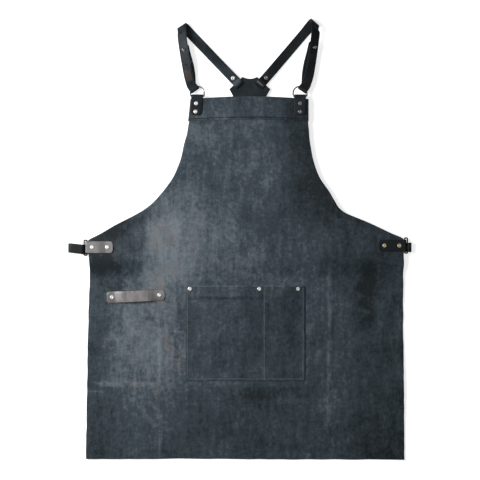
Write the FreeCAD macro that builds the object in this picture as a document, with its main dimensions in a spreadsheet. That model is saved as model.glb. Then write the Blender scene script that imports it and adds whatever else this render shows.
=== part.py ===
"""Leather cross-back apron, laid out flat on its back: +X to the viewer's right, +Y towards the bib, +Z up
from the surface that it lies on. The origin is on the back face of the body, above the hem.

The body is one hide sheet. Its skirt lies on the surface, and from the waist up it rides over the harness.
A doubled band stiffens the bib. Two ring tabs hold D-rings at the bib's corners, and two side tabs hold
rectangular rings at the waist. The harness is a back yoke with four straps looped through its slots: two
shoulder straps, each buttoned on a stud round its D-ring, and two waist straps round the side rings.
"""

import FreeCAD, Part

import math
import os

import Sketcher

V = FreeCAD.Vector
Z_AXIS = V(0, 0, 1)
X_AXIS = V(1, 0, 0)
Y_AXIS = V(0, 1, 0)

# Driving dimensions, in millimetres and degrees: alias, value, what it is.
SIZES = [
    ("body_thick", 1.8, "hide of the body and the bib band"),
    ("strap_thick", 2.4, "strap leather"),
    ("strap_wide", 19.5, "strap width"),
    ("tab_thick", 2.0, "leather of the tabs"),
    ("yoke_thick", 2.6, "leather of the yoke"),
    ("ply_gap", 0.2, "free space between two plies"),
    ("cap_thick", 1.0, "back head of a rivet"),
    ("hem_y", -178.4, "hem line"),
    ("hem_left_x", -331.0, "hem's left corner"),
    ("hem_right_x", 320.0, "hem's right corner"),
    ("waist_y", 269.0, "waist corners"),
    ("waist_left_x", -327.2, "left waist corner"),
    ("waist_right_x", 318.0, "right waist corner"),
    ("flare_y", 315.7, "where the armhole curve meets the straight flare"),
    ("flare_left_x", -241.9, "left flare point"),
    ("flare_right_x", 227.6, "right flare point"),
    ("armhole_y", 496.0, "top of the armhole curve"),
    ("armhole_left_x", -123.0, "left armhole point"),
    ("armhole_right_x", 125.0, "right armhole point"),
    ("armhole_left_rad", 226.0, "radius of the left armhole curve"),
    ("armhole_right_rad", 196.0, "radius of the right armhole curve"),
    ("bib_y", 560.0, "bib's top corners"),
    ("bib_left_x", -118.0, "bib's left corner"),
    ("bib_right_x", 124.0, "bib's right corner"),
    ("bib_rise", 4.2, "how far the bib's top edge arches"),
    ("ramp_low_y", 192.0, "where the body leaves the surface"),
    ("ramp_high_y", 234.0, "where the body is fully raised"),
    ("band_deep", 47.0, "depth of the bib band"),
    ("raised_z", 9.2, "underside of the raised body"),
    ("bar_y", 564.6, "axis of the D-rings' straight bars"),
    ("ring_left_x", -103.9, "left D-ring"),
    ("ring_right_x", 106.4, "right D-ring"),
    ("wire_rad", 1.6, "D-ring wire radius"),
    ("ring_rad", 14.1, "D-ring arc, to the middle of the wire"),
    ("ring_leg", 6.9, "straight leg of a D-ring"),
    ("ring_tilt", 10.0, "slope of a D-ring, down from its bar"),
    ("tab_wide", 24.2, "width of the tabs"),
    ("ring_tab_long", 39.0, "ring tab, bar to lower end"),
    ("ring_tab_left_slant", 4.5, "how far the left ring tab's legs lean outwards"),
    ("ring_tab_right_slant", 0.0, "the same on the right"),
    ("side_tab_long", 52.5, "side tab, bar to inner end"),
    ("side_left_y", 256.0, "left side tab"),
    ("side_right_y", 259.3, "right side tab"),
    ("side_wire_rad", 1.5, "side ring wire radius"),
    ("side_ring_tall", 31.0, "side ring, between its short bars' centres"),
    ("side_ring_wide", 8.8, "side ring, between its long bars' centres"),
    ("side_ring_tilt", 42.0, "slope of a side ring, down from its bar"),
    ("ring_left_slide", 1.2, "how far the left side ring has slid down along its tab"),
    ("ring_right_slide", 0.0, "the same on the right"),
    ("strap_slide", 3.8, "how far a waist strap sits below its side ring's middle"),
    ("eye_clear", 0.3, "free space between a ring bar and the tab round it"),
    ("yoke_x", 3.7, "yoke centre"),
    ("yoke_y", 553.5, "yoke centre"),
    ("slot_out_x", 19.3, "yoke slot, out from the centre"),
    ("slot_out_y", 33.4, "yoke slot, up or down from the centre"),
    ("slot_long", 22.0, "yoke slot length"),
    ("slot_wide", 4.5, "yoke slot width"),
    ("yoke_rivet_out", 21.7, "yoke rivet, out from its slot"),
    ("yoke_loop_long", 31.0, "strap end, from its slot to the flex line"),
    ("fold_left_x", -135.7, "turn at the top of the left shoulder strap"),
    ("fold_left_y", 708.7, "the same, up from the origin"),
    ("fold_right_x", 137.4, "turn at the top of the right shoulder strap"),
    ("fold_right_y", 715.9, "the same, up from the origin"),
    ("fold_left_lean", 33.0, "slope of the left strap's turn, down outwards"),
    ("fold_right_lean", 42.0, "slope of the right strap's turn, down outwards"),
    ("fold_rad", 7.4, "radius of that turn, to the middle of the leather"),
    ("wrap_angle", 37.0, "where a strap crosses its D-ring, out from the ring's axis"),
    ("flex_ring", 4.6, "half the cut at the flex line by the ring"),
    ("flex_yoke", 2.2, "half the cut at the flex line by the yoke"),
    ("pocket_left_x", -127.5, "tool pocket"),
    ("pocket_right_x", 116.6, "tool pocket"),
    ("pocket_low_y", -18.5, "tool pocket"),
    ("pocket_high_y", 176.7, "tool pocket"),
    ("pocket_belly", 4.8, "room inside a pocket"),
    ("loop_x", -230.2, "towel loop centre"),
    ("loop_y", 155.5, "towel loop centre"),
    ("loop_long", 119.0, "towel loop length"),
    ("loop_wide", 24.0, "towel loop width"),
    ("loop_turn", 2.5, "towel loop slant"),
    ("loop_lift", 6.1, "towel loop height over the body"),
    ("loop_rivet", 48.8, "towel loop rivets, out from its centre"),
    ("head_rad", 4.5, "rivet head radius"),
    ("head_high", 1.5, "rivet head height"),
    ("shank_rad", 1.5, "rivet shank radius"),
    ("waist_bend_rad", 150.0, "in-plane bend of a waist strap"),
    ("waist_bend", 52.0, "angle of that bend"),
    ("left_loop_out", 39.0, "slack of the left waist strap outside its tab"),
    ("right_loop_out", 14.8, "the same on the right"),
]

doc = FreeCAD.newDocument("apron")
sheet = doc.addObject("Spreadsheet::Sheet", "sizes")
for row, (alias, number, words) in enumerate(SIZES, start=1):
    sheet.set(f"A{row}", alias)
    sheet.set(f"B{row}", str(number))
    sheet.set(f"C{row}", words)
    sheet.setAlias(f"B{row}", alias)
doc.recompute()


class Size:
    """A length that knows both its value and the spreadsheet expression that gives it."""

    def __init__(self, value, text):
        self.value, self.text = float(value), text

    def _join(self, other, sign, result):
        text = other.text if isinstance(other, Size) else repr(float(other))
        return Size(result, f"({self.text} {sign} {text})")

    def __add__(self, other):
        return self._join(other, "+", self.value + float(other))

    def __sub__(self, other):
        return self._join(other, "-", self.value - float(other))

    def __mul__(self, other):
        return self._join(other, "*", self.value * float(other))

    def __truediv__(self, other):
        return self._join(other, "/", self.value / float(other))

    def __neg__(self):
        return Size(-self.value, f"(0 - {self.text})")

    def __float__(self):
        return self.value


def size(alias):
    return Size(sheet.get(alias), f"sizes.{alias}")


def as_size(number):
    return number if isinstance(number, Size) else Size(number, repr(float(number)))


def bind(thing, prop, number):
    """Ties a property of a document object to the spreadsheet."""
    thing.setExpression(prop, as_size(number).text)


def place(thing, x, y, z):
    for axis, number in zip("xyz", (x, y, z)):
        bind(thing, f"Placement.Base.{axis}", number)


def turned(axis, degrees):
    return FreeCAD.Rotation(axis, float(degrees))


# ---------------------------------------------------------------- building blocks


def box(name, low, long_x, long_y, long_z):
    made = doc.addObject("Part::Box", name)
    for prop, number in zip(("Length", "Width", "Height"), (long_x, long_y, long_z)):
        bind(made, prop, number)
    place(made, *low)
    return made


def cylinder(name, base, radius, height, axis=Z_AXIS):
    made = doc.addObject("Part::Cylinder", name)
    bind(made, "Radius", radius)
    bind(made, "Height", height)
    made.Placement = FreeCAD.Placement(V(0, 0, 0), FreeCAD.Rotation(Z_AXIS, axis))
    place(made, *base)
    return made


def ball(name, centre, radius):
    made = doc.addObject("Part::Sphere", name)
    bind(made, "Radius", radius)
    place(made, *centre)
    return made


def fused(name, shapes):
    if len(shapes) == 1:
        return shapes[0]
    made = doc.addObject("Part::MultiFuse", name)
    made.Shapes = shapes
    return made


def cut(name, base, tool):
    made = doc.addObject("Part::Cut", name)
    made.Base = base
    made.Tool = tool
    return made


def feature(name, shape, placement=None):
    made = doc.addObject("Part::Feature", name)
    made.Shape = shape
    if placement:
        made.Placement = placement
    return made


def origin_plane(body, role):
    return next(f for f in body.Origin.OriginFeatures if f.Role == role)


def pin_point(sketch, geometry, end, x, y):
    """Holds one end of a sketch edge at (x, y), bound to the spreadsheet."""
    for kind, axis_id, number in (("DistanceX", -2, as_size(x)), ("DistanceY", -1, as_size(y))):
        if abs(number.value) < 1e-9:
            sketch.addConstraint(Sketcher.Constraint("PointOnObject", geometry, end, axis_id))
        else:
            constraint = Sketcher.Constraint(kind, -1, 1, geometry, end, number.value)
            at = sketch.addConstraint(constraint)
            sketch.setExpression(f"Constraints[{at}]", number.text)


def arc_middle(start, finish, radius):
    """The middle of the arc from start to finish, bulging to the right of that way, or left if radius < 0."""
    chord = finish - start
    half = chord.Length / 2
    sagitta = abs(radius) - math.sqrt(max(radius * radius - half * half, 0))
    side = V(chord.y, -chord.x, 0).normalize() * math.copysign(sagitta, radius)
    return (start + finish) / 2 + side


def outline(body, role, corners, name):
    """A closed sketch. Each corner is (x, y), or (x, y, radius) where an arc leads on to the next corner.

    A half circle between two corners of the same x is held by its centre instead of its radius.
    """
    sketch = body.newObject("Sketcher::SketchObject", name)
    sketch.AttachmentSupport = (origin_plane(body, role), [""])
    sketch.MapMode = "FlatFace"
    count = len(corners)
    for i, corner in enumerate(corners):
        after = corners[(i + 1) % count]
        a = V(float(corner[0]), float(corner[1]), 0)
        b = V(float(after[0]), float(after[1]), 0)
        if len(corner) == 3:
            sketch.addGeometry(Part.Arc(a, arc_middle(a, b, float(corner[2])), b))
        else:
            sketch.addGeometry(Part.LineSegment(a, b))
    for i, corner in enumerate(corners):
        a = V(float(corner[0]), float(corner[1]), 0)
        before = (i - 1) % count
        ends = []
        for geometry in (before, i):
            start_gap = (sketch.getPoint(geometry, 1) - a).Length
            finish_gap = (sketch.getPoint(geometry, 2) - a).Length
            ends.append(1 if start_gap < finish_gap else 2)
        sketch.addConstraint(Sketcher.Constraint("Coincident", before, ends[0], i, ends[1]))
        pin_point(sketch, i, ends[1], corner[0], corner[1])
        if len(corner) < 3:
            continue
        radius = as_size(corner[2])
        across = abs(float(corners[(i + 1) % count][1]) - float(corner[1]))
        if abs(abs(radius.value) * 2 - across) < 1e-6:
            start_x = as_size(corner[0])
            at = sketch.addConstraint(Sketcher.Constraint("DistanceX", -1, 1, i, 3, start_x.value))
            sketch.setExpression(f"Constraints[{at}]", start_x.text)
        else:
            text = radius.text if radius.value > 0 else f"(0 - {radius.text})"
            at = sketch.addConstraint(Sketcher.Constraint("Radius", i, abs(radius.value)))
            sketch.setExpression(f"Constraints[{at}]", text)
    return sketch


def padded(name, role, corners, length, midplane=False):
    """A body with one sketch, padded."""
    body = doc.addObject("PartDesign::Body", name)
    sketch = outline(body, role, corners, name + "_outline")
    pad = body.newObject("PartDesign::Pad", name + "_pad")
    pad.Profile = sketch
    pad.Midplane = midplane
    bind(pad, "Length", length)
    return body


def pocketed(body, role, corners, name):
    """Cuts a sketch right through a body, both ways."""
    sketch = outline(body, role, corners, name + "_outline")
    made = body.newObject("PartDesign::Pocket", name)
    made.Profile = sketch
    made.Midplane = True
    made.Type = "Length"
    made.Length = 2000
    return made


def drills(name, spots, radius, low, high):
    """A tool of upright round holes at each (x, y)."""
    return fused(name, [
        cylinder(f"{name}_{i}", (x, y, low), radius, high - low) for i, (x, y) in enumerate(spots)
    ])


def labelled(node, name):
    node.Label = name
    NODES.append(node)
    return node


NODES = []

# ---------------------------------------------------------------- derived levels and places

body_thick, strap_thick, tab_thick = size("body_thick"), size("strap_thick"), size("tab_thick")
strap_wide, tab_wide, gap = size("strap_wide"), size("tab_wide"), size("ply_gap")
shank, head = size("shank_rad"), size("head_rad")
hole = shank + 0.1
raised = size("raised_z")
raised_top = raised + body_thick
band_low = raised_top + gap / 2
band_top = band_low + body_thick
back_leg_top = raised - gap
bar_y = size("bar_y")
SKY = 60.0  # above everything

LEFT, RIGHT = -1, 1
SIDES = {"left": LEFT, "right": RIGHT}
RING_TAB_RIVETS = (14.9, 31.8)  # down from the bar
POCKET_RIVETS = [(-119.1, 170.4), (23.0, 170.4), (102.5, 170.4)]
SIDE_TAB_RIVETS = {"left": (-318.8, -287.8), "right": (309.5, 279.0)}

# ---------------------------------------------------------------- body sheet and bib band

BODY_CORNERS = [
    (size("hem_left_x"), size("hem_y")),
    (size("hem_right_x"), size("hem_y")),
    (size("waist_right_x"), size("waist_y")),
    (size("flare_right_x"), size("flare_y"), -size("armhole_right_rad")),
    (size("armhole_right_x"), size("armhole_y")),
    (size("bib_right_x"), size("bib_y"), 1750.0),
    (size("bib_left_x"), size("bib_y")),
    (size("armhole_left_x"), size("armhole_y"), -size("armhole_left_rad")),
    (size("flare_left_x"), size("flare_y")),
    (size("waist_left_x"), size("waist_y")),
]


def body_sheet():
    """The hide outline padded thick, then cut above and below to the side profile of the laid sheet."""
    body = padded("hide", "XY_Plane", BODY_CORNERS, SKY)
    low_y, high_y = size("ramp_low_y"), size("ramp_high_y")
    far_y, near_y = 700.0, -300.0
    pocketed(body, "YZ_Plane", [
        (low_y, 0.0), (high_y, raised), (far_y, raised), (far_y, -1.0), (low_y, -1.0),
    ], "under_side")
    pocketed(body, "YZ_Plane", [
        (near_y, body_thick), (low_y, body_thick), (high_y, raised_top), (far_y, raised_top),
        (far_y, SKY + 1), (near_y, SKY + 1),
    ], "upper_side")
    return body


def flat_rivet_spots():
    """Rivets of the pocket and the towel loop, in the skirt that lies on the surface."""
    turn = math.radians(float(size("loop_turn")))
    out = float(size("loop_rivet"))
    loop = [
        (float(size("loop_x")) + s * out * math.cos(turn), float(size("loop_y")) + s * out * math.sin(turn))
        for s in SIDES.values()
    ]
    return POCKET_RIVETS, loop


pocket_spots, loop_spots = flat_rivet_spots()


def ring_tab_spots(side):
    """Rivets of a ring tab, which lie on its slanted middle line. The left pair is set a little outwards."""
    slant = math.radians(float(size(f"ring_tab_{side}_slant")))
    shift = 0.8 if side == "left" else 0.0
    return [
        (float(size(f"ring_{side}_x")) - shift - down * math.sin(slant), float(bar_y) - down * math.cos(slant))
        for down in RING_TAB_RIVETS
    ]


ring_spots = {side: ring_tab_spots(side) for side in SIDES}
side_spots = {
    side: [(x, float(size(f"side_{side}_y"))) for x in SIDE_TAB_RIVETS[side]] for side in SIDES
}
raised_spots = ring_spots["left"] + ring_spots["right"] + side_spots["left"] + side_spots["right"]
all_spots = pocket_spots + loop_spots + raised_spots

holes = drills("body_holes", all_spots, hole, -1.0, 30.0)
recesses = drills("body_recesses", pocket_spots + loop_spots, head - 0.3, -1.0, size("cap_thick") - 0.05)
labelled(cut("body_cut", body_sheet(), fused("body_tools", [holes, recesses])), "apron_body")

BAND_CORNERS = [
    (size("armhole_left_x") + 2.6, size("bib_y") - size("band_deep")),
    (size("armhole_right_x") - 0.6, size("bib_y") - size("band_deep")),
    (size("bib_right_x"), size("bib_y"), 1750.0),
    (size("bib_left_x"), size("bib_y")),
]
band = padded("band", "XY_Plane", BAND_CORNERS, body_thick)
place(band, 0, 0, band_low)
ring_holes = drills("band_holes", ring_spots["left"] + ring_spots["right"], hole, 0.0, 30.0)
labelled(cut("band_cut", band, ring_holes), "bib_band")

# ---------------------------------------------------------------- tabs


def tab(name, back_low, front_low, long, wire, spots, taper, slant=0.0):
    """A strip folded round a ring bar, with both legs riveted through the sheet.

    Its own frame has the bar along X through the origin and the legs running to -Y. The rivet spots are in
    that frame, and the legs may slant from it about the bar's middle.
    """
    middle = (back_low + tab_thick + front_low) / 2
    eye = wire + size("eye_clear")
    outer = eye + tab_thick
    half = tab_wide / 2
    turn = turned(Z_AXIS, -float(slant))
    legs = fused(name + "_legs", [
        box(name + "_back_leg", (-half, -long, back_low - middle), tab_wide, long, tab_thick),
        box(name + "_front_leg", (-half, -long, front_low - middle), tab_wide, long, tab_thick),
    ])
    slit_low, slit_high = back_low + tab_thick - middle, front_low - back_low - tab_thick
    trims = fused(name + "_trims", [
        box(name + "_slit", (-half - 1, -long - 1, slit_low), tab_wide + 2, long + 2.2, slit_high),
        *[corner_tool(f"{name}_corner_{s}", s, half, long, taper) for s in (LEFT, RIGHT)],
    ])
    for slanted in (legs, trims):
        slanted.Placement = FreeCAD.Placement(V(0, 0, 0), turn)
    strip = fused(name + "_strip", [legs, cylinder(name + "_fold", (-half, 0, 0), outer, tab_wide, X_AXIS)])
    tools = fused(name + "_tools", [
        cylinder(name + "_eye", (-half - 1, 0, 0), eye, tab_wide + 2, X_AXIS), trims,
        drills(name + "_holes", spots, hole, -20.0, 20.0),
    ])
    return cut(name + "_made", strip, tools)


def corner_tool(name, side, half, long, taper):
    """A wedge that takes one corner off the free end of a tab."""
    corners = [
        (half * side + side, -long - 0.1), (half * side + side, -long + taper), (half * side, -long + taper),
        (half * side - taper * side * 0.8, -long - 0.1),
    ]
    points = [V(float(x), float(y), -20) for x, y in corners]
    return feature(name, Part.Face(Part.makePolygon([*points, points[0]])).extrude(V(0, 0, 40)))


def set_tab(node, x, y, z, turn):
    node.Placement = FreeCAD.Placement(V(float(x), float(y), float(z)), turned(Z_AXIS, turn))


def eye_height(back_low, front_low):
    return (back_low + tab_thick + front_low) / 2


back_low = back_leg_top - tab_thick
ring_front_low = band_top + gap / 2
side_front_low = raised_top + gap
ring_bar_z = eye_height(back_low, ring_front_low)
side_bar_z = eye_height(back_low, side_front_low)
side_eye_reach = size("side_wire_rad") + size("eye_clear") + 0.6
side_bar_x = {
    "left": size("waist_left_x") - side_eye_reach,
    "right": size("waist_right_x") + side_eye_reach,
}

for side, sign in SIDES.items():
    ring_x = size(f"ring_{side}_x")
    spots = [(x - float(ring_x), y - float(bar_y)) for x, y in ring_spots[side]]
    made = tab(
        f"ring_tab_{side}", back_low, ring_front_low, size("ring_tab_long"), size("wire_rad"), spots, 6.0,
        size(f"ring_tab_{side}_slant"),
    )
    set_tab(made, ring_x, bar_y, ring_bar_z, 0)
    labelled(made, f"ring_tab_{side}")
    side_y = size(f"side_{side}_y")
    spots = [(0.0, -abs(x - float(side_bar_x[side]))) for x, y in side_spots[side]]
    made = tab(
        f"side_tab_{side}", back_low, side_front_low, size("side_tab_long"), size("side_wire_rad"), spots,
        5.0,
    )
    set_tab(made, side_bar_x[side], side_y, side_bar_z, 90 if side == "left" else -90)
    labelled(made, f"side_tab_{side}")

# ---------------------------------------------------------------- rings


def ring_frame(side):
    """A D-ring's own frame: the bar along X, the arc towards +Y, sloping down."""
    at = V(float(size(f"ring_{side}_x")), float(bar_y), float(ring_bar_z))
    return FreeCAD.Placement(at, turned(X_AXIS, -float(size("ring_tilt"))))


def d_ring(side):
    wire, radius, leg = size("wire_rad"), size("ring_rad"), size("ring_leg")
    name = f"d_ring_{side}"
    arc = doc.addObject("Part::Torus", name + "_arc")
    bind(arc, "Radius1", radius)
    bind(arc, "Radius2", wire)
    bind(arc, "Angle3", 180)
    place(arc, 0, leg, 0)
    pieces = [arc, cylinder(name + "_bar", (-radius, 0, 0), wire, radius * 2, X_AXIS)]
    for s in (LEFT, RIGHT):
        pieces.append(cylinder(f"{name}_leg_{s}", (radius * s, 0, 0), wire, leg, Y_AXIS))
        pieces.append(ball(f"{name}_corner_{s}", (radius * s, 0, 0), wire))
    made = fused(name + "_made", pieces)
    made.Placement = ring_frame(side)
    return labelled(made, name)


def ring_middle_y(side):
    return size(f"side_{side}_y") - size(f"ring_{side}_slide")


def side_ring(side):
    """A rectangular ring, with its hinged long bar along Y through its own origin."""
    wire, tall, wide = size("side_wire_rad"), size("side_ring_tall"), size("side_ring_wide")
    name = f"side_ring_{side}"
    half = tall / 2
    pieces = []
    for label, x in (("inner", 0), ("outer", wide)):
        pieces.append(cylinder(f"{name}_{label}", (x, -half, 0), wire, tall, Y_AXIS))
        for s in (LEFT, RIGHT):
            pieces.append(ball(f"{name}_{label}_corner_{s}", (x, half * s, 0), wire))
    for s in (LEFT, RIGHT):
        pieces.append(cylinder(f"{name}_short_{s}", (0, half * s, 0), wire, wide, X_AXIS))
    made = fused(name + "_made", pieces)
    at = V(float(side_bar_x[side]), float(ring_middle_y(side)), float(side_bar_z))
    outward = turned(Z_AXIS, 180 if side == "left" else 0)
    made.Placement = FreeCAD.Placement(at, outward.multiply(turned(Y_AXIS, float(size("side_ring_tilt")))))
    return labelled(made, name)


for side in SIDES:
    d_ring(side)
    side_ring(side)

# ---------------------------------------------------------------- yoke

yoke_x, yoke_y = size("yoke_x"), size("yoke_y")
cap_thick, yoke_thick = size("cap_thick"), size("yoke_thick")
strap_low = cap_thick
yoke_low = strap_low + strap_thick + gap
strap_high = yoke_low + yoke_thick + gap


def strap_heading(side, up):
    """Plan angle of a strap as it leaves its yoke slot, in degrees."""
    slot_x = float(yoke_x) + SIDES[side] * float(size("slot_out_x"))
    slot_y = float(yoke_y) + float(size("slot_out_y"))
    lean = math.degrees(math.atan2(
        float(size(f"fold_{side}_y")) - slot_y, abs(float(size(f"fold_{side}_x")) - slot_x)
    ))
    angle = lean if side == "right" else 180 - lean
    return angle if up else -angle


def slot_centre(side, up):
    return (
        yoke_x + size("slot_out_x") * SIDES[side],
        yoke_y + size("slot_out_y") * (1 if up else -1),
    )


QUARTERS = [(side, up) for side in SIDES for up in (True, False)]


def yoke():
    """An X-shaped hide plate with four slots. Its arms end in straight edges, and its sides are notched."""
    arm_in, arm_high, arm_out, arm_low, waist = 15.0, 51.5, 42.0, 26.2, 28.0
    dip = 30.0
    corners = [
        (-arm_in, arm_high, dip), (arm_in, arm_high), (arm_out, arm_low), (waist, 0), (arm_out, -arm_low),
        (arm_in, -arm_high, dip), (-arm_in, -arm_high), (-arm_out, -arm_low), (-waist, 0),
        (-arm_out, arm_low),
    ]
    plate = padded("yoke_plate", "XY_Plane", corners, yoke_thick)
    place(plate, yoke_x, yoke_y, yoke_low)
    slots = []
    for side, up in QUARTERS:
        x, y = slot_centre(side, up)
        slot = doc.addObject("Part::Box", f"slot_{side}_{'up' if up else 'down'}")
        bind(slot, "Length", size("slot_wide"))
        bind(slot, "Width", size("slot_long"))
        slot.Height = 20
        turn = turned(Z_AXIS, strap_heading(side, up))
        corner = turn.multVec(V(-float(size("slot_wide")) / 2, -float(size("slot_long")) / 2, 0))
        slot.Placement = FreeCAD.Placement(V(float(x), float(y), 0) + corner, turn)
        slots.append(slot)
    return labelled(cut("yoke_made", plate, fused("yoke_slots", slots)), "back_yoke")


yoke()

# ---------------------------------------------------------------- looped strap ends


def strip(name, corners):
    """A strap end drawn from the side (along X, up Z) and padded to the strap's width."""
    return padded(name, "XZ_Plane", corners, strap_wide, midplane=True)


def yoke_loop(side, up):
    """A strap end: over the yoke's edge, down through its slot, back beneath and riveted to itself."""
    name = f"{'shoulder' if up else 'waist'}_strap_{side}_yoke_loop"
    bend = (strap_high - strap_low - strap_thick) / 2
    outer = bend + strap_thick
    turn_x = size("slot_wide") / 2 + 0.55
    edge_x, seat_x = 11.6, 16.2
    seat = strap_low + strap_thick + gap
    tail_end = size("yoke_rivet_out") + 5.5
    end = size("yoke_loop_long") + 12
    corners = [
        (turn_x, strap_low), (tail_end, strap_low), (tail_end, strap_low + strap_thick),
        (turn_x, strap_low + strap_thick, -bend), (turn_x, strap_high), (edge_x, strap_high),
        (seat_x, seat), (end, seat), (end, seat + strap_thick), (seat_x + 0.6, seat + strap_thick),
        (edge_x + 0.6, strap_high + strap_thick), (turn_x, strap_high + strap_thick, outer),
    ]
    loop = strip(name + "_strip", corners)
    x, y = slot_centre(side, up)
    heading = turned(Z_AXIS, strap_heading(side, up))
    rivet = drills(name + "_rivet_hole", [(size("yoke_rivet_out"), 0)], hole, -5.0, 30.0)
    made = cut(name + "_made", loop, rivet)
    made.Placement = FreeCAD.Placement(V(float(x), float(y), 0), heading)
    return made


def unit(angle):
    return V(math.cos(math.radians(angle)), math.sin(math.radians(angle)), 0)


def ring_wrap(side):
    """Where the strap crosses the D-ring's arc, in the ring's frame, and the strap's angle there."""
    angle = 90 - SIDES[side] * float(size("wrap_angle"))
    return V(0, float(size("ring_leg")), 0) + unit(angle) * float(size("ring_rad")), angle


def ring_loop(side):
    """The strap's turn round the D-ring, square to the arc, in the ring's own slope."""
    name = f"shoulder_strap_{side}_ring_loop"
    sag = float(size("ring_rad")) - math.sqrt(float(size("ring_rad")) ** 2 - (float(strap_wide) / 2) ** 2)
    bend = size("wire_rad") + 0.5
    outer = bend + strap_thick
    turn_x = bend - sag - size("wire_rad") * 1.4 - 0.35
    end = 24.0
    corners = [
        (turn_x, -outer), (end, -outer), (end, -bend), (turn_x, -bend, -bend),
        (turn_x, bend), (end, bend), (end, outer), (turn_x, outer, outer),
    ]
    made = strip(name + "_strip", corners)
    at, angle = ring_wrap(side)
    made.Placement = ring_frame(side).multiply(FreeCAD.Placement(at, turned(Z_AXIS, angle)))
    return made


def flex_points(side):
    """The two ends of a shoulder strap's swing axis: past the ring, and past the yoke rivet."""
    at, angle = ring_wrap(side)
    near_ring = ring_frame(side).multVec(at + unit(angle) * 9.0)
    x, y = slot_centre(side, True)
    near_yoke = V(float(x), float(y), 0) + unit(strap_heading(side, True)) * float(size("yoke_loop_long"))
    near_yoke.z = float(strap_low + strap_thick + gap + strap_thick / 2)
    return near_ring, near_yoke


def half_space(name, point, axis_angle, keep_above):
    """A big block on one side of the upright plane through point along axis_angle."""
    reach = 400.0
    made = doc.addObject("Part::Box", name)
    made.Length, made.Width, made.Height = reach, reach, 200
    turn = turned(Z_AXIS, axis_angle)
    corner = V(-reach / 2, -reach if keep_above else 0, -100)
    made.Placement = FreeCAD.Placement(point + turn.multVec(corner), turn)
    return made


def swing_angle(side):
    """Plan angle of the swing axis, always pointing to +X."""
    a, b = flex_points(side)
    run = (b - a) if side == "left" else (a - b)
    return math.degrees(math.atan2(run.y, run.x))


def shoulder_ends(side):
    """The two ends of a shoulder strap that stay with the harness, cut at the flex line."""
    near_ring, near_yoke = flex_points(side)
    angle = swing_angle(side)
    across = unit(angle + 90)
    tool = half_space(f"flex_ring_{side}", near_ring - across * float(size("flex_ring")), angle, False)
    labelled(cut(f"ring_loop_{side}", ring_loop(side), tool), f"shoulder_strap_{side}_ring_loop")
    tool = half_space(f"flex_yoke_{side}", near_yoke - across * float(size("flex_yoke")), angle, False)
    labelled(cut(f"yoke_loop_{side}", yoke_loop(side, True), tool), f"shoulder_strap_{side}_yoke_loop")


def waist_end(side):
    """The waist strap's end at the yoke, cut square across the apron."""
    x, y = slot_centre(side, False)
    end = V(float(x), float(y), 0) + unit(strap_heading(side, False)) * float(size("yoke_loop_long"))
    tool = half_space(f"waist_cut_{side}", end, 0, True)
    labelled(cut(f"waist_loop_{side}", yoke_loop(side, False), tool), f"waist_strap_{side}_yoke_loop")


for side in SIDES:
    shoulder_ends(side)
    waist_end(side)

# ---------------------------------------------------------------- shoulder straps


def ribbon(stations, thick):
    """A strip through stations of (middle point, vector from the middle to one edge), as a ruled solid."""
    wires = []
    for i, (point, edge) in enumerate(stations):
        before = stations[max(i - 1, 0)][0]
        after = stations[min(i + 1, len(stations) - 1)][0]
        face = edge.cross(after - before).normalize() * (thick / 2)
        corners = [point + edge + face, point - edge + face, point - edge - face, point + edge - face]
        wires.append(Part.makePolygon([*corners, corners[0]]))
    return Part.makeLoft(wires, True, True)


# Stations up a front leg: share of the rise, share of the way out, lean in plan and roll outwards in degrees.
LEG_SHAPE = {
    "left": [
        (0.14, 0.20, 21, 6), (0.31, 0.42, 13, 11), (0.50, 0.65, 10, 15), (0.68, 0.84, 8, 18),
        (0.84, 0.96, 12, 16),
    ],
    "right": [
        (0.14, 0.27, 21, 8), (0.31, 0.50, 13, 16), (0.50, 0.73, 10, 23), (0.68, 0.92, 8, 28),
        (0.84, 1.04, 14, 26),
    ],
}
# The free end behind it: how far it hangs below the front leg and how far it strays inwards.
TAIL_SHAPE = {
    "left": [(2.4, 4.6), (1.0, 5.0), (0.3, 3.0), (0.0, 1.6)],
    "right": [(2.4, 5.6), (1.0, 6.2), (0.3, 4.4), (0.0, 2.8)],
}


def front_leg(side):
    """Stations of the front leg, from the ring up towards the turn. It bows outwards and rolls to face out."""
    near_ring = flex_points(side)[0]
    sign = SIDES[side]
    top = float(strap_thick) / 2 + 0.05 + 2 * float(size("fold_rad"))
    start = near_ring + V(0, 0, 3.2)
    rise = V(float(size(f"fold_{side}_x")), float(size(f"fold_{side}_y")), top) - start
    half = float(strap_wide) / 2
    leg = [(start, unit(ring_wrap(side)[1] - 90) * half)]
    for up, out, lean, roll in LEG_SHAPE[side]:
        point = start + V(rise.x * out, rise.y * up, rise.z * up)
        edge = unit(-sign * lean) * (half * math.cos(math.radians(roll)))
        edge.z = -sign * half * math.sin(math.radians(roll))
        leg.append((point, edge))
    return leg


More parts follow.
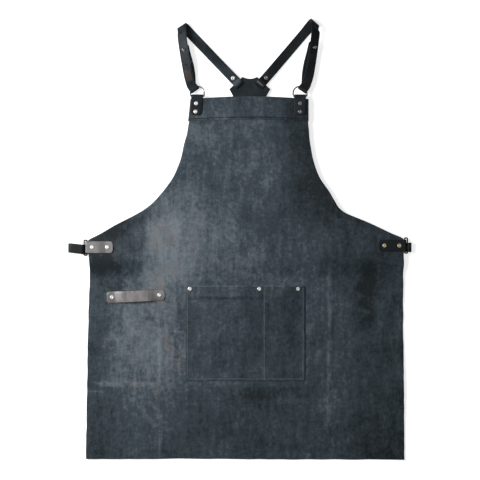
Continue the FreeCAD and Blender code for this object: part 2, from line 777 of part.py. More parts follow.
def shoulder_strap(side):
    """The strap from the ring, up the front leg, wrapped round the turn at the top and down to the yoke.

    The turn is a cylinder on a sloping axis. The strap slides along it as it wraps, so that it comes in along
    the front leg and leaves along the back leg.
    """
    near_yoke = flex_points(side)[1]
    radius, half = float(size("fold_rad")), float(strap_wide) / 2
    rest_z = float(strap_thick) / 2 + 0.05
    sign = SIDES[side]
    crest = V(float(size(f"fold_{side}_x")), float(size(f"fold_{side}_y")), 0)
    forward = unit(90 - sign * 7.5)
    backward = unit(strap_heading(side, True)) * -1
    slope = float(size(f"fold_{side}_lean"))
    axis, outward = unit(-sign * slope), unit(90 - sign * slope)
    slide_in = forward.dot(axis) / forward.dot(outward)
    slide_out = -backward.dot(axis) / backward.dot(outward)

    def slid(angle):
        return radius * (slide_in * angle + (slide_out - slide_in) * angle**2 / (2 * math.pi))

    edge = axis * (2 * half / (forward.cross(axis).Length + backward.cross(axis).Length))
    start = crest - outward * (radius + float(strap_thick) / 2) - axis * slid(math.pi / 2)
    stations = front_leg(side)
    steps = 8
    for i in range(steps + 1):
        angle = math.pi * i / steps
        point = start + axis * slid(angle) + outward * (radius * math.sin(angle))
        point.z = rest_z + radius * (1 + math.cos(angle))
        stations.append((point, edge))
    leave = V(stations[-1][0])
    along = V(near_yoke.x, near_yoke.y, 0) - V(leave.x, leave.y, 0)
    flat = V(along.y, -along.x, 0).normalize() * half
    flat *= math.copysign(1, flat.dot(edge))
    for share, height in ((0.22, rest_z), (0.78, rest_z), (0.93, near_yoke.z - 0.6), (1.06, near_yoke.z)):
        stations.append((V(leave.x, leave.y, height) + along * share, flat))
    return ribbon(stations, float(strap_thick))


def tail(side):
    """The strap's free end: back up behind the front leg to the stud, with the front leg's roll."""
    leg = front_leg(side)
    ply, half = float(strap_thick) + float(gap), float(strap_wide) / 2
    stations = [(leg[0][0] - V(0, 0, 6.3), leg[0][1])]
    for (point, edge), (sink, shift) in zip(leg[1:], TAIL_SHAPE[side]):
        drop = (ply + sink) * half / math.hypot(edge.x, edge.y)
        stations.append((point + edge * (-SIDES[side] * shift / half) - V(0, 0, drop), edge))
    return ribbon(stations, float(strap_thick))


def stud_frame(side):
    """Where the stud stands on the front leg, and the leg's face direction there."""
    (low, low_edge), (high, high_edge) = front_leg(side)[3:5]
    at = low + (high - low) * 0.5
    return at, (low_edge + high_edge).cross(high - low).normalize()


def revolved(profile):
    """A solid turned about Z from a closed profile of (radius, height) points."""
    points = [V(r, 0, z) for r, z in profile]
    face = Part.Face(Part.makePolygon([*points, points[0]]))
    return face.revolve(V(0, 0, 0), Z_AXIS, 360)


def stud_parts(side):
    """A ball stud and its screw, square to the front leg."""
    at, normal = stud_frame(side)
    half = float(strap_thick) / 2
    under = -half - float(gap) - float(strap_thick) - 0.5
    frame = FreeCAD.Placement(at, FreeCAD.Rotation(Z_AXIS, normal))
    neck, knob = 1.7, 3.1
    shoulder = half + 0.15
    stud = revolved([
        (0, under + 1.4), (neck, under + 1.4), (neck, shoulder), (3.4, shoulder), (3.4, shoulder + 0.6),
        (neck, shoulder + 1.0), (neck, shoulder + 1.6), (0, shoulder + 1.6),
    ])
    knob_ball = Part.makeSphere(knob, V(0, 0, shoulder + 1.6 + knob * 0.75))
    stud = stud.fuse(knob_ball).removeSplitter()
    screw = revolved([(0, under - 0.6), (4.0, under - 0.6), (4.0, under + 0.2), (0, under + 0.2)])
    pin = Part.makeCylinder(neck + 0.1, 40, V(0, 0, -20))
    for shape in (stud, screw, pin):
        shape.Placement = frame
    return stud, screw, pin


for side in SIDES:
    near_ring, near_yoke = flex_points(side)
    angle = swing_angle(side)
    across = unit(angle + 90)
    ring_cut, yoke_cut = across * float(size("flex_ring")), across * float(size("flex_yoke"))
    stud, screw, pin = stud_parts(side)
    tools = fused(f"strap_tools_{side}", [
        half_space(f"strap_ring_side_{side}", near_ring + ring_cut, angle, True),
        half_space(f"strap_yoke_side_{side}", near_yoke + yoke_cut, angle, True),
        feature(f"stud_hole_{side}", pin),
    ])
    strap = feature(f"strap_{side}", shoulder_strap(side))
    labelled(cut(f"strap_{side}_made", strap, tools), f"shoulder_strap_{side}")
    tools = fused(f"tail_tools_{side}", [
        half_space(f"tail_ring_side_{side}", near_ring + ring_cut, angle, True),
        feature(f"tail_hole_{side}", pin),
    ])
    free_end = feature(f"tail_{side}", tail(side))
    labelled(cut(f"tail_{side}_made", free_end, tools), f"shoulder_strap_{side}_tail")
    labelled(feature(f"stud_{side}", stud), f"strap_stud_{side}")
    labelled(feature(f"screw_{side}", screw), f"strap_stud_{side}_screw")

# ---------------------------------------------------------------- waist straps


def waist_strap(side):
    """Flat on the surface from near the yoke, bending in its own plane, to the side ring."""
    sign = SIDES[side]
    bar = float(side_bar_x[side])
    y = float(ring_middle_y(side) - size("strap_slide"))
    bend, radius = math.radians(float(size("waist_bend"))), float(size("waist_bend_rad"))
    wide, thick = float(strap_wide), float(strap_thick)
    x, slot_y = slot_centre(side, False)
    end = V(float(x), float(slot_y), 0) + unit(strap_heading(side, False)) * float(size("yoke_loop_long"))
    end.y -= 1.2
    straight = (end.y - y - radius * (1 - math.cos(bend))) / math.sin(bend)
    bend_end_x = end.x + sign * straight * math.cos(bend)
    bend_x = bend_end_x + sign * radius * math.sin(bend)
    half = wide / 2
    centre = V(bend_x, y + radius, 0)

    def on_bend(offset, angle):
        return centre + V(-sign * math.sin(angle), -math.cos(angle), 0) * (radius + offset)

    inner = [on_bend(-half, a) for a in (bend, bend / 2, 0)]
    outer = [on_bend(half, a) for a in (0, bend / 2, bend)]
    way = V(-sign * math.cos(bend), math.sin(bend), 0)
    stub = 30.0
    far_in, far_out = inner[0] + way * (straight + stub), outer[2] + way * (straight + stub)
    low_in = V(bar, y + half, 0)
    low_out = V(bar, y - half, 0)
    edges = [
        Part.LineSegment(far_in, inner[0]), Part.Arc(*inner), Part.LineSegment(inner[2], low_in),
        Part.LineSegment(low_in, low_out), Part.LineSegment(low_out, outer[0]), Part.Arc(*outer),
        Part.LineSegment(outer[2], far_out), Part.LineSegment(far_out, far_in),
    ]
    run = Part.Face(Part.Wire([e.toShape() for e in edges])).extrude(V(0, 0, thick))
    reach = 400.0
    trim = Part.makeBox(2 * reach, reach, 40, V(-reach, end.y, -10))
    return run.cut(trim), bar, y, sign


def waist_loop(side, bar, y):
    """The loop round the side ring, drawn from the side with +X outwards from the ring's hinge."""
    out = float(size(f"{side}_loop_out"))
    thick = float(strap_thick)
    middle = [(-58.0, 3.8), (-1.5, 3.9), (0.0, 3.95), (4.12, 6.39), (7.4, 9.6), (max(out - 9, 8.6), 10.3)]
    lower = [(x + 0.5 * (0 < x < 8), z - thick / 2) for x, z in middle]
    upper = [(x - 0.5 * (0 < x < 8), z + thick / 2) for x, z in middle]
    top_z = middle[-1][1] + thick / 2
    turn_x = out - top_z / 2
    inner_top = top_z - thick
    points = [V(x, 0, z) for x, z in [*upper, (turn_x, top_z)]]
    edges = [Part.LineSegment(a, b) for a, b in zip(points, points[1:])]
    edges.append(Part.Arc(points[-1], V(out, 0, top_z / 2), V(turn_x, 0, 0)))
    edges.append(Part.LineSegment(V(turn_x, 0, 0), V(-2.0, 0, 0)))
    edges.append(Part.LineSegment(V(-2.0, 0, 0), V(-2.0, 0, thick)))
    edges.append(Part.LineSegment(V(-2.0, 0, thick), V(turn_x, 0, thick)))
    inside = V(turn_x + (inner_top - thick) / 2, 0, (inner_top + thick) / 2)
    edges.append(Part.Arc(V(turn_x, 0, thick), inside, V(turn_x, 0, inner_top)))
    back = [V(turn_x, 0, inner_top), *[V(x, 0, z) for x, z in reversed(lower)]]
    edges += [Part.LineSegment(a, b) for a, b in zip(back, back[1:])]
    edges.append(Part.LineSegment(back[-1], points[0]))
    face = Part.Face(Part.Wire([e.toShape() for e in edges]))
    made = face.extrude(V(0, float(strap_wide), 0))
    made.translate(V(0, -float(strap_wide) / 2, 0))
    turn = 180 if side == "left" else 0
    made.Placement = FreeCAD.Placement(V(bar, y, 0), turned(Z_AXIS, turn)).multiply(made.Placement)
    return made


def waist_screw(bar, y, sign):
    """A flat two-part screw through the strap's two plies."""
    thick = float(strap_thick)
    x = bar - sign * 50.5
    top = 2 * thick + float(gap) + 0.05
    base = revolved([(0, 0), (4.2, 0), (4.2, 0.8), (1.8, 0.8), (1.8, top), (0, top)])
    cap = revolved([(0, top), (4.2, top), (4.2, top + 0.5), (3.4, top + 0.9), (0, top + 0.9)])
    tool = Part.makeCylinder(1.9, 20).fuse(Part.makeCylinder(4.3, 1.9, V(0, 0, -1)))
    for shape in (base, cap, tool):
        shape.translate(V(x, y, 0))
    return base, cap, tool


for side in SIDES:
    run, bar, y, sign = waist_strap(side)
    base, cap, tool = waist_screw(bar, y, sign)
    strap = run.fuse(waist_loop(side, bar, y)).removeSplitter().cut(tool)
    labelled(feature(f"waist_{side}", strap), f"waist_strap_{side}")
    labelled(feature(f"waist_screw_{side}", Part.makeCompound([base, cap])), f"waist_strap_{side}_screw")

# ---------------------------------------------------------------- tool pocket and towel loop


def belly(left, right, low, high, lift, skin, edge):
    """A raised panel: flat where it is sewn, sloping up to a level middle, and open at the top edge."""
    def rim(y, height, spare):
        slope = edge * height / lift if height < lift else edge
        corners = [V(left + spare, y, 0), V(left + slope + spare * 0.4, y, height),
                   V(right - slope - spare * 0.4, y, height), V(right - spare, y, 0)]
        return Part.makePolygon([*corners, corners[0]])

    solid = Part.makeLoft([rim(low, 0.3, 0), rim(low + 30, lift, 0), rim(high, lift, 0)], True, True)
    solid.translate(V(0, 0, skin))
    return solid


def tool_pocket():
    """A hide panel sewn on three sides and down a divider, with two compartments open at the top."""
    left, right = float(size("pocket_left_x")), float(size("pocket_right_x"))
    low, high = float(size("pocket_low_y")), float(size("pocket_high_y"))
    thick, room = float(body_thick), float(size("pocket_belly"))
    seat = thick + 0.1
    sewn, edge = 14.5, 13.0
    divider_left, divider_right = 15.5, 39.0
    panel = Part.makeBox(right - left, high - low, thick, V(left, low, seat))
    compartments = ((left + sewn, divider_left), (divider_right, right - sewn - 8.5))
    solid = panel
    for a, b in compartments:
        solid = solid.fuse(belly(a, b, low + 8, high, room, seat + thick - 0.05, edge))
    for a, b in compartments:
        solid = solid.cut(belly(a + 1, b - 1, low + 9, high + 5, room, seat - 0.05, edge))
    return solid.removeSplitter()


pocket = feature("pocket_panel", tool_pocket())
pocket_holes = drills("pocket_holes", POCKET_RIVETS, hole, 0.0, 30.0)
labelled(cut("pocket_made", pocket, pocket_holes), "tool_pocket")


def towel_loop():
    """A strip riveted at both ends and arched clear of the body between them."""
    half, lift = size("loop_long") / 2, size("loop_lift")
    thick = 2.2
    seat = body_thick + 0.1
    flat, shoulder = 42.0, 28.0
    corners = [
        (-half, seat), (-flat, seat), (-shoulder, seat + lift), (shoulder, seat + lift), (flat, seat),
        (half, seat), (half, seat + thick), (flat + 0.7, seat + thick),
        (shoulder + 0.7, seat + lift + thick), (-shoulder - 0.7, seat + lift + thick),
        (-flat - 0.7, seat + thick), (-half, seat + thick),
    ]
    body = padded("loop_strip", "XZ_Plane", corners, size("loop_wide"), midplane=True)
    spots = [(size("loop_rivet") * s, 0) for s in (LEFT, RIGHT)]
    made = cut("loop_made", body, drills("loop_holes", spots, hole, 0.0, 30.0))
    at = V(float(size("loop_x")), float(size("loop_y")), 0)
    made.Placement = FreeCAD.Placement(at, turned(Z_AXIS, float(size("loop_turn"))))
    return made, float(seat) + thick


loop_node, loop_top = towel_loop()
labelled(loop_node, "towel_loop")

# ---------------------------------------------------------------- rivets


def rivet_cap(x, y, z):
    """A shallow domed head on the front ply."""
    radius, high = float(head), float(size("head_high"))
    made = revolved([
        (0, 0), (radius, 0), (radius, high * 0.35), (radius * 0.86, high * 0.72),
        (radius * 0.55, high * 0.95), (0, high),
    ])
    made.translate(V(x, y, z))
    return made


def rivet_post(x, y, low, top):
    """The shank with its flat back head."""
    back = float(cap_thick) - 0.1
    made = revolved([(0, 0), (float(head) - 0.4, 0), (float(head) - 0.4, back), (float(shank), back),
                     (float(shank), top - low), (0, top - low)])
    made.translate(V(x, y, low))
    return made


def rivets(name, spots, low, top):
    caps = [rivet_cap(x, y, top) for x, y in spots]
    posts = [rivet_post(x, y, low, top) for x, y in spots]
    labelled(feature(name + "_caps", Part.makeCompound(caps)), name + "_caps")
    labelled(feature(name + "_posts", Part.makeCompound(posts)), name + "_posts")


yoke_spots = []
for side, up in QUARTERS:
    x, y = slot_centre(side, up)
    spot = V(float(x), float(y), 0) + unit(strap_heading(side, up)) * float(size("yoke_rivet_out"))
    yoke_spots.append((spot.x, spot.y))

pocket_top = 2 * float(body_thick) + 0.1
rivet_back = float(back_low) - float(cap_thick) + 0.1
ring_tab_top, side_tab_top = float(ring_front_low + tab_thick), float(side_front_low + tab_thick)
rivets("ring_tab_rivet", ring_spots["left"] + ring_spots["right"], rivet_back, ring_tab_top)
rivets("side_tab_rivet", side_spots["left"] + side_spots["right"], rivet_back, side_tab_top)
rivets("pocket_rivet", POCKET_RIVETS, 0.0, pocket_top)
rivets("towel_loop_rivet", loop_spots, 0.0, loop_top)
rivets("yoke_rivet", yoke_spots, 0.1, float(strap_low + strap_thick * 2 + gap))

# ---------------------------------------------------------------- check and write

doc.recompute()
for thing in doc.Objects:
    if "Invalid" in thing.State or "Error" in thing.State:
        raise RuntimeError(f"{thing.Name} failed: {thing.State}")
os.makedirs("parts", exist_ok=True)
for node in NODES:
    shape = node.Shape
    if shape.isNull() or not shape.isValid() or not shape.Solids:
        raise RuntimeError(f"{node.Label} has no valid solid")
    shape.exportStep(f"parts/{node.Label}.step")
    low, high = shape.BoundBox.ZMin, shape.BoundBox.ZMax
    print(f"{node.Label}: {len(shape.Solids)} solids, {shape.Volume:.0f} mm3, z {low:.2f} to {high:.2f}")
for side in SIDES:
    a, b = flex_points(side)
    print(f"swing axis {side}: {tuple(round(v, 2) for v in a)} to {tuple(round(v, 2) for v in b)}")
print("bars z:", float(ring_bar_z), float(side_bar_z), "x:", {k: float(v) for k, v in side_bar_x.items()})
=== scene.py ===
"""The looks of the leather work apron, laid on a pale surface: hide, straps, rings, rivets and stitching.

Lengths are typed in millimetres in the part's frame, and become metres when a mesh is made.
"""

import math

import bpy
import numpy as np
from mathutils import Matrix, Vector
from mathutils.noise import noise


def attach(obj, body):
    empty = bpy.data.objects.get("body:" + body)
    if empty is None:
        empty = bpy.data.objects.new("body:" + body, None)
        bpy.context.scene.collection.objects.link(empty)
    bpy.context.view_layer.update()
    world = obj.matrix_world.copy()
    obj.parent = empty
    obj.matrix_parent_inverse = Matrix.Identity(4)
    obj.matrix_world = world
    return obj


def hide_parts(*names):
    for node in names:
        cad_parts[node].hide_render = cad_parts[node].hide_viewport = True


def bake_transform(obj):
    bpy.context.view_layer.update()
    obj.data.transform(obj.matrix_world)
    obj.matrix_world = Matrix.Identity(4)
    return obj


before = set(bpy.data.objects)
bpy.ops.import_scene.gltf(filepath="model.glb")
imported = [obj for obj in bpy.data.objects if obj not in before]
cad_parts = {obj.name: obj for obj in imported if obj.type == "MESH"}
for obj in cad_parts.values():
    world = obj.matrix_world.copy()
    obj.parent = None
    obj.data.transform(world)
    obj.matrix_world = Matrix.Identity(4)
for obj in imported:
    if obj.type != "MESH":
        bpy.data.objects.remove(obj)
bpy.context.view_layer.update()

MM = 0.001
UP = Vector((0, 0, 1))
SIDES = {"left": -1, "right": 1}  # the sign of x on each side

# Thicknesses, and levels above the surface.
HIDE_THICK = 1.8
EDGE_SOFT = 0.35  # how far a hide's top face falls at its cut edge
RAISED = 9.2  # the hide's underside where it rides over the harness
YOKE_LEVEL = 4.9
PLY = 2.6  # one strap and its free space
STRAP_HALF, STRAP_THICK = 9.75, 2.4
STRAP_LIFT = 1.25  # a strap's middle where it lies on the surface

# The bib's top edge and the band's lower edge: height at the sides, rise in the middle, half width.
BIB_MIDDLE = 3.0
BIB_TOP, BIB_RISE, BIB_HALF = 558.8, 5.4, 121.0
BAND_LOW, BAND_RISE, BAND_HALF = 513.6, 3.6, 122.0
HEM = -178.8

# The pocket's sides, foot and mouth, and its upright seams.
POCKET = (-127.5, 116.6, -18.5, 176.7)
POCKET_SEAMS = (-124.3, 33.4, 113.2)
POCKET_CORNER = 6.0

# D-rings: the straight bar's place, the bow's radius, the legs between them, and the tilt.
RING_BAR_Y, RING_BAR_Z = 564.6, 11.0
RING_X = {"left": -103.9, "right": 106.4}
RING_RAD, RING_LEG, RING_TILT = 14.1, 6.9, 10.0
RING_TAB_SLANT = {"left": 4.5, "right": 0.0}

# Side rings: the bar in the tab, how far the ring has slid along it, and the ring's size and tilt.
SIDE_BAR = {"left": (-329.6, 256.0), "right": (320.4, 259.3)}
SIDE_BAR_Z = 10.1
RING_SLIDE = {"left": 1.2, "right": 0.0}
SIDE_RING_WIDE, SIDE_RING_HALF, SIDE_RING_TILT = 8.8, 15.5, 42.0
STRAP_SLIDE = 3.8  # how far a waist strap has slid along its ring
LOOP_OUT = {"left": 39.0, "right": 14.8}  # how far a waist strap's loop stands out from the ring's bar

# The turn at the top of a shoulder strap: place, lean of its axis, radius.
FOLD = {"left": (-135.7, 710.2), "right": (137.4, 717.4)}
FOLD_LEAN = {"left": 33.0, "right": 42.0}
FOLD_RAD = 7.4
# Up a front leg: share of the rise, share of the way out, lean in plan, roll outwards.
LEG_SHAPE = {
    "left": [(0.14, 0.20, 21, 6), (0.31, 0.42, 13, 11), (0.50, 0.65, 10, 15), (0.68, 0.84, 8, 18),
             (0.84, 0.96, 12, 16)],
    "right": [(0.14, 0.27, 21, 8), (0.31, 0.50, 13, 16), (0.50, 0.73, 10, 23), (0.68, 0.92, 8, 28),
              (0.84, 1.04, 14, 26)],
}
# The free end behind a front leg, from the ring up: how far it hangs below the leg and strays inwards.
TAIL_SHAPE = {
    "left": [(2.4, 4.6), (1.0, 5.0), (0.3, 3.0), (0.0, 1.6)],
    "right": [(2.4, 5.6), (1.0, 6.2), (0.3, 4.4), (0.0, 2.8)],
}
YOKE = (3.7, 553.5)
SLOT_OUT = (19.3, 33.4)  # from the yoke's middle to a slot's
LOOP_LONG = 31.0  # from a slot to where its strap bends
RIVET_OUT = 21.7  # from a slot to its loop's rivet


# ---- small maths


def vec(x, y, z=0.0):
    return Vector((x, y, z))


def ease(a, b, t):
    """0 before a, 1 after b, smooth between them. a may be above b."""
    s = np.clip((t - a) / (b - a), 0, 1)
    return s * s * (3 - 2 * s)


def unit(degrees):
    return vec(math.cos(math.radians(degrees)), math.sin(math.radians(degrees)))


def swung(flat, degrees):
    """A flat direction swung up by an angle."""
    return flat * math.cos(math.radians(degrees)) + UP * math.sin(math.radians(degrees))


def eased_between(start, end, leave, arrive, s):
    """A point at share s of the way along a cubic, from its ends and the slopes there."""
    return (
        start * ((1 + 2 * s) * (1 - s) ** 2) + leave * (s * (1 - s) ** 2)
        + end * (s * s * (3 - 2 * s)) + arrive * (s * s * (s - 1))
    )


def curve_through(knots):
    """A smooth function through (t, value) knots."""
    ts, vs = np.array(knots, float).T
    slopes = np.gradient(vs, ts)

    def at(t):
        t = np.clip(t, ts[0], ts[-1])
        i = np.clip(np.searchsorted(ts, t) - 1, 0, len(ts) - 2)
        step = ts[i + 1] - ts[i]
        return eased_between(vs[i], vs[i + 1], slopes[i] * step, slopes[i + 1] * step, (t - ts[i]) / step)

    return at


# ---- mesh makers


def add_mesh(name, verts, faces, material, sharp=40):
    mesh = bpy.data.meshes.new(name)
    mesh.from_pydata([tuple(c * MM for c in v) for v in verts], [], faces)
    mesh.update()
    made = bpy.data.objects.new(name, mesh)
    bpy.context.scene.collection.objects.link(made)
    for each in material if isinstance(material, (list, tuple)) else [material]:
        mesh.materials.append(each)
    mesh.shade_smooth()
    mesh.set_sharp_from_angle(angle=math.radians(sharp))
    return made


def faced_out(made):
    """Turns a closed mesh's faces outwards, if they face in."""
    mesh = made.data
    mesh.calc_loop_triangles()
    co = np.array([v.co for v in mesh.vertices])
    tris = np.array([t.vertices for t in mesh.loop_triangles])
    a, b, c = co[tris[:, 0]], co[tris[:, 1]], co[tris[:, 2]]
    if np.einsum("ij,ij->i", a, np.cross(b, c)).sum() < 0:
        mesh.flip_normals()
    return made


def grid_faces(rows, cols, start=0, flip=False):
    faces = []
    for i in range(rows - 1):
        for j in range(cols - 1):
            a = start + i * cols + j
            quad = (a, a + 1, a + cols + 1, a + cols)
            faces.append(quad[::-1] if flip else quad)
    return faces


def sheet_mesh(name, plan, height, material):
    """A hide over a grid of plan points (rows, cols, 2), from the function for its underside's height.

    The top face falls a little at the rim, so that the cut edge is rounded.
    """
    rows, cols = plan.shape[:2]
    x, y = plan[..., 0], plan[..., 1]
    under = height(x, y)
    low = np.dstack([x, y, under])
    top = np.dstack([x, y, under + HIDE_THICK])
    rim = [(0, j) for j in range(cols)] + [(i, cols - 1) for i in range(1, rows)]
    rim += [(rows - 1, j) for j in range(cols - 2, -1, -1)] + [(i, 0) for i in range(rows - 2, 0, -1)]
    verts = [tuple(v) for v in low.reshape(-1, 3)] + [tuple(v) for v in top.reshape(-1, 3)]
    count = rows * cols
    faces = grid_faces(rows, cols, 0, True) + grid_faces(rows, cols, count)
    for k, (i, j) in enumerate(rim):
        m, n = rim[(k + 1) % len(rim)]
        a, b = i * cols + j, m * cols + n
        faces.append((a, b, b + count, a + count))
    for i, j in rim:
        v = verts[count + i * cols + j]
        verts[count + i * cols + j] = (v[0], v[1], v[2] - EDGE_SOFT)
    return add_mesh(name, verts, faces, material, 50)


def strap_mesh(name, side, stations, step, ends, crease=0.0):
    return strip_mesh(
        name, stations, STRAP_HALF, STRAP_THICK, STRAPS[side], step, ends, corner=0.75, crease=crease
    )


def section(half, thick, corner, crease=0.0):
    """A strap's rounded cross-section as (across, up) points, anticlockwise.

    crease presses a line along the front face beside each edge.
    """
    points = []
    pressed = [(half - 1.7, 0), (half - 2.05, crease), (half - 2.4, 0)] if crease else []
    for sx, sy, start in ((1, 1, 0), (-1, 1, 90), (-1, -1, 180), (1, -1, 270)):
        cx, cy = sx * (half - corner), sy * (thick / 2 - corner)
        for angle in (0, 30, 60, 90):
            d = unit(start + angle)
            points.append((cx + d.x * corner, cy + d.y * corner))
        if (sx, sy) == (1, 1):
            points += [(x, thick / 2 - dip) for x, dip in pressed]
            points += [(half * f, thick / 2) for f in (0.5, 0.0, -0.5)]
            points += [(-x, thick / 2 - dip) for x, dip in pressed[::-1]]
        elif (sx, sy) == (-1, -1):
            points += [(-half * f, -thick / 2) for f in (0.5, 0.0, -0.5)]
    return points


def smooth_path(stations, step=2.0):
    """Points, face directions and edge vectors along a smooth line through the stations.

    A station is (point, face direction), or has an edge vector too where the strap is skewed.
    """
    points = [Vector(s[0]) for s in stations]
    faces = [Vector(s[1]) for s in stations]
    edges = []
    for i, station in enumerate(stations):
        if len(station) > 2:
            edges.append(Vector(station[2]))
        else:
            along = points[min(i + 1, len(points) - 1)] - points[max(i - 1, 0)]
            edges.append(along.cross(faces[i]).normalized())
    padded = [points[0] * 2 - points[1], *points, points[-1] * 2 - points[-2]]
    out = []
    for i, (p0, p1, p2, p3) in enumerate(zip(padded, points, points[1:], padded[3:])):
        span = (p2 - p1).length
        leave = (p2 - p0) / max(span + (p1 - p0).length, 1e-6) * span
        arrive = (p3 - p1) / max((p3 - p2).length + span, 1e-6) * span
        count = max(1, round(span / step))
        for s in np.arange(count) / count:
            point = eased_between(p1, p2, leave, arrive, float(s))
            out.append((point, faces[i].lerp(faces[i + 1], s), edges[i].lerp(edges[i + 1], s)))
    out.append((points[-1], faces[-1], edges[-1]))
    return out


def strip_mesh(name, stations, half, thick, material, step=2.0, ends=(0, 0), chamfer=(0, 0), corner=0.7,
               cup=0.0, crease=0.0):
    """A strap or a tab: a rounded strip along the stations.

    ends rounds the corners of the first and last end by that radius, and chamfer cuts them off instead.
    cup bends the edges down, and crease presses a line beside each.
    """
    path = smooth_path(stations, step)
    gone = [0.0]
    for before, after in zip(path, path[1:]):
        gone.append(gone[-1] + (after[0] - before[0]).length)
    total = gone[-1]
    extra = set()
    for share in (0.03, 0.1, 0.22, 0.4, 0.65, 1.0):
        extra |= {length * share for length in (ends[0], chamfer[0]) if length}
        extra |= {total - length * share for length in (ends[1], chamfer[1]) if length}
    spots = sorted(set(gone) | extra)
    verts, faces = [], []
    base = section(half, thick, min(corner, thick / 2 - 0.05), crease)
    count = len(base)
    for s in spots:
        i = min(max(np.searchsorted(gone, s) - 1, 0), len(path) - 2)
        f = (s - gone[i]) / max(gone[i + 1] - gone[i], 1e-9)
        point, rough_face, edge = (path[i][k].lerp(path[i + 1][k], f) for k in range(3))
        before, after = path[max(i - 1, 0)][0], path[min(i + 2, len(path) - 1)][0]
        face = edge.cross(after - before).normalized()
        if face.dot(rough_face) < 0:
            face = -face
        width = half
        for length, cut, left in ((ends[0], chamfer[0], s), (ends[1], chamfer[1], total - s)):
            if length and left < length:
                width = min(width, half - length + math.sqrt(max(length**2 - (length - left) ** 2, 0)))
            if cut and left < cut:
                width = min(width, half - (cut - left) * 0.85)
        width = max(width, 0.4)
        pinch = 0.55 if s in (spots[0], spots[-1]) else 1.0
        for across, up in base:
            bow = cup * (across / half) ** 2
            verts.append(tuple(point + edge * (across * width / half) + face * (up * pinch - bow)))
    for k in range(len(spots) - 1):
        for j in range(count):
            a, b = k * count + j, k * count + (j + 1) % count
            faces.append((a, b, b + count, a + count))
    faces.append(tuple(range(count))[::-1])
    faces.append(tuple(range((len(spots) - 1) * count, len(spots) * count)))
    return faced_out(add_mesh(name, verts, faces, material, 50))


def lathe(verts, faces, profile, where, turn, segments=28):
    """Adds a turned shape: profile of (radius, height), from the top centre down and back."""
    first = len(verts)
    for r, z in profile:
        for k in range(segments):
            d = unit(360 * k / segments) * max(r, 0.01)
            verts.append(Vector(where) + turn @ vec(d.x, d.y, z))
    for i in range(len(profile) - 1):
        for k in range(segments):
            a, b = first + i * segments + k, first + i * segments + (k + 1) % segments
            faces.append((a, a + segments, b + segments, b))
    faces.append(tuple(range(first, first + segments)))
    faces.append(tuple(range(len(verts) - segments, len(verts)))[::-1])


def turned_set(name, profile, spots, materials, pick=(0,)):
    """Turned pieces in one mesh, each at a (place, direction). pick numbers their materials."""
    verts, faces, owners = [], [], []
    for n, (place, way) in enumerate(spots):
        lathe(verts, faces, profile, place, UP.rotation_difference(way).to_matrix())
        owners += [pick[n % len(pick)]] * (len(faces) - len(owners))
    made = add_mesh(name, verts, faces, materials, 35)
    made.data.polygons.foreach_set("material_index", owners)
    return faced_out(made)


def wire_mesh(name, points, radius, material, segments=14):
    """A round wire along a closed line of points."""
    count = len(points)
    verts, faces = [], []
    up = (points[1] - points[0]).cross(points[count // 3] - points[0]).normalized()
    for i, p in enumerate(points):
        along = (points[(i + 1) % count] - points[i - 1]).normalized()
        side = along.cross(up).normalized()
        for k in range(segments):
            d = unit(360 * k / segments)
            verts.append(p + side * (d.x * radius) + up * (d.y * radius))
    for i in range(count):
        for k in range(segments):
            a, b = i * segments + k, i * segments + (k + 1) % segments
            c, d = (i + 1) % count * segments + k, (i + 1) % count * segments + (k + 1) % segments
            faces.append((a, b, d, c))
    return faced_out(add_mesh(name, verts, faces, material, 80))


def stitches(name, lines, material, pitch, long, fat):
    """Thread along lines of points: one sunk capsule for each stitch."""
    shape = ((-0.5, 0.15), (-0.36, 0.8), (0.0, 1.0), (0.36, 0.8), (0.5, 0.15))
    capsule = [(fat * r, long * t) for t, r in shape]
    verts, faces = [], []
    for line in lines:
        gone = 0.0
        for a, b in zip(line, line[1:]):
            span, along = (b - a).length, (b - a).normalized()
            side = along.cross(UP).normalized()
            turn = Matrix((side, side.cross(along), along)).transposed()
            for s in np.arange((pitch - gone % pitch) % pitch, span, pitch):
                lathe(verts, faces, capsule, a + along * s, turn, 6)
            gone += span
    return add_mesh(name, verts, faces, material, 60)


def pierce(made, spots, radius):
    """Drills holes: each spot is (point, direction, depth), from a little above the point down."""
    verts, faces = [], []
    for point, way, depth in spots:
        turn = UP.rotation_difference(way).to_matrix()
        lathe(verts, faces, [(radius, 1.2), (radius, -depth)], point, turn, 20)
    tool = faced_out(add_mesh("tool", verts, faces, made.data.materials[0]))
    cutter = made.modifiers.new("holes", "BOOLEAN")
    cutter.operation, cutter.object, cutter.solver = "DIFFERENCE", tool, "EXACT"
    graph = bpy.context.evaluated_depsgraph_get()
    cut = bpy.data.meshes.new_from_object(made.evaluated_get(graph))
    made.modifiers.clear()
    cut.set_sharp_from_angle(angle=math.radians(30))
    made.data = cut
    bpy.data.objects.remove(tool)
    return made


# ---- materials


def feed(tree, socket, value):
    """Gives a socket another node's output, a plain number or a colour."""
    if isinstance(value, bpy.types.NodeSocket):
        tree.links.new(value, socket)
    else:
        socket.default_value = (*value, 1) if isinstance(value, tuple) else value


def node(tree, kind, **inputs):
    made = tree.nodes.new(kind)
    for key, value in inputs.items():
        made.inputs[key.replace("_", " ")].default_value = value
    return made


def start_material(name, roughness, metallic=0.0, color=(0.5, 0.5, 0.5), shine=0.5):
    material = bpy.data.materials.new(name)
    material.use_nodes = True
    tree = material.node_tree
    shader = tree.nodes["Principled BSDF"]
    shader.inputs["Base Color"].default_value = (*color, 1)
    shader.inputs["Roughness"].default_value = roughness
    shader.inputs["Metallic"].default_value = metallic
    shader.inputs["Specular IOR Level"].default_value = shine
    return material, tree, shader


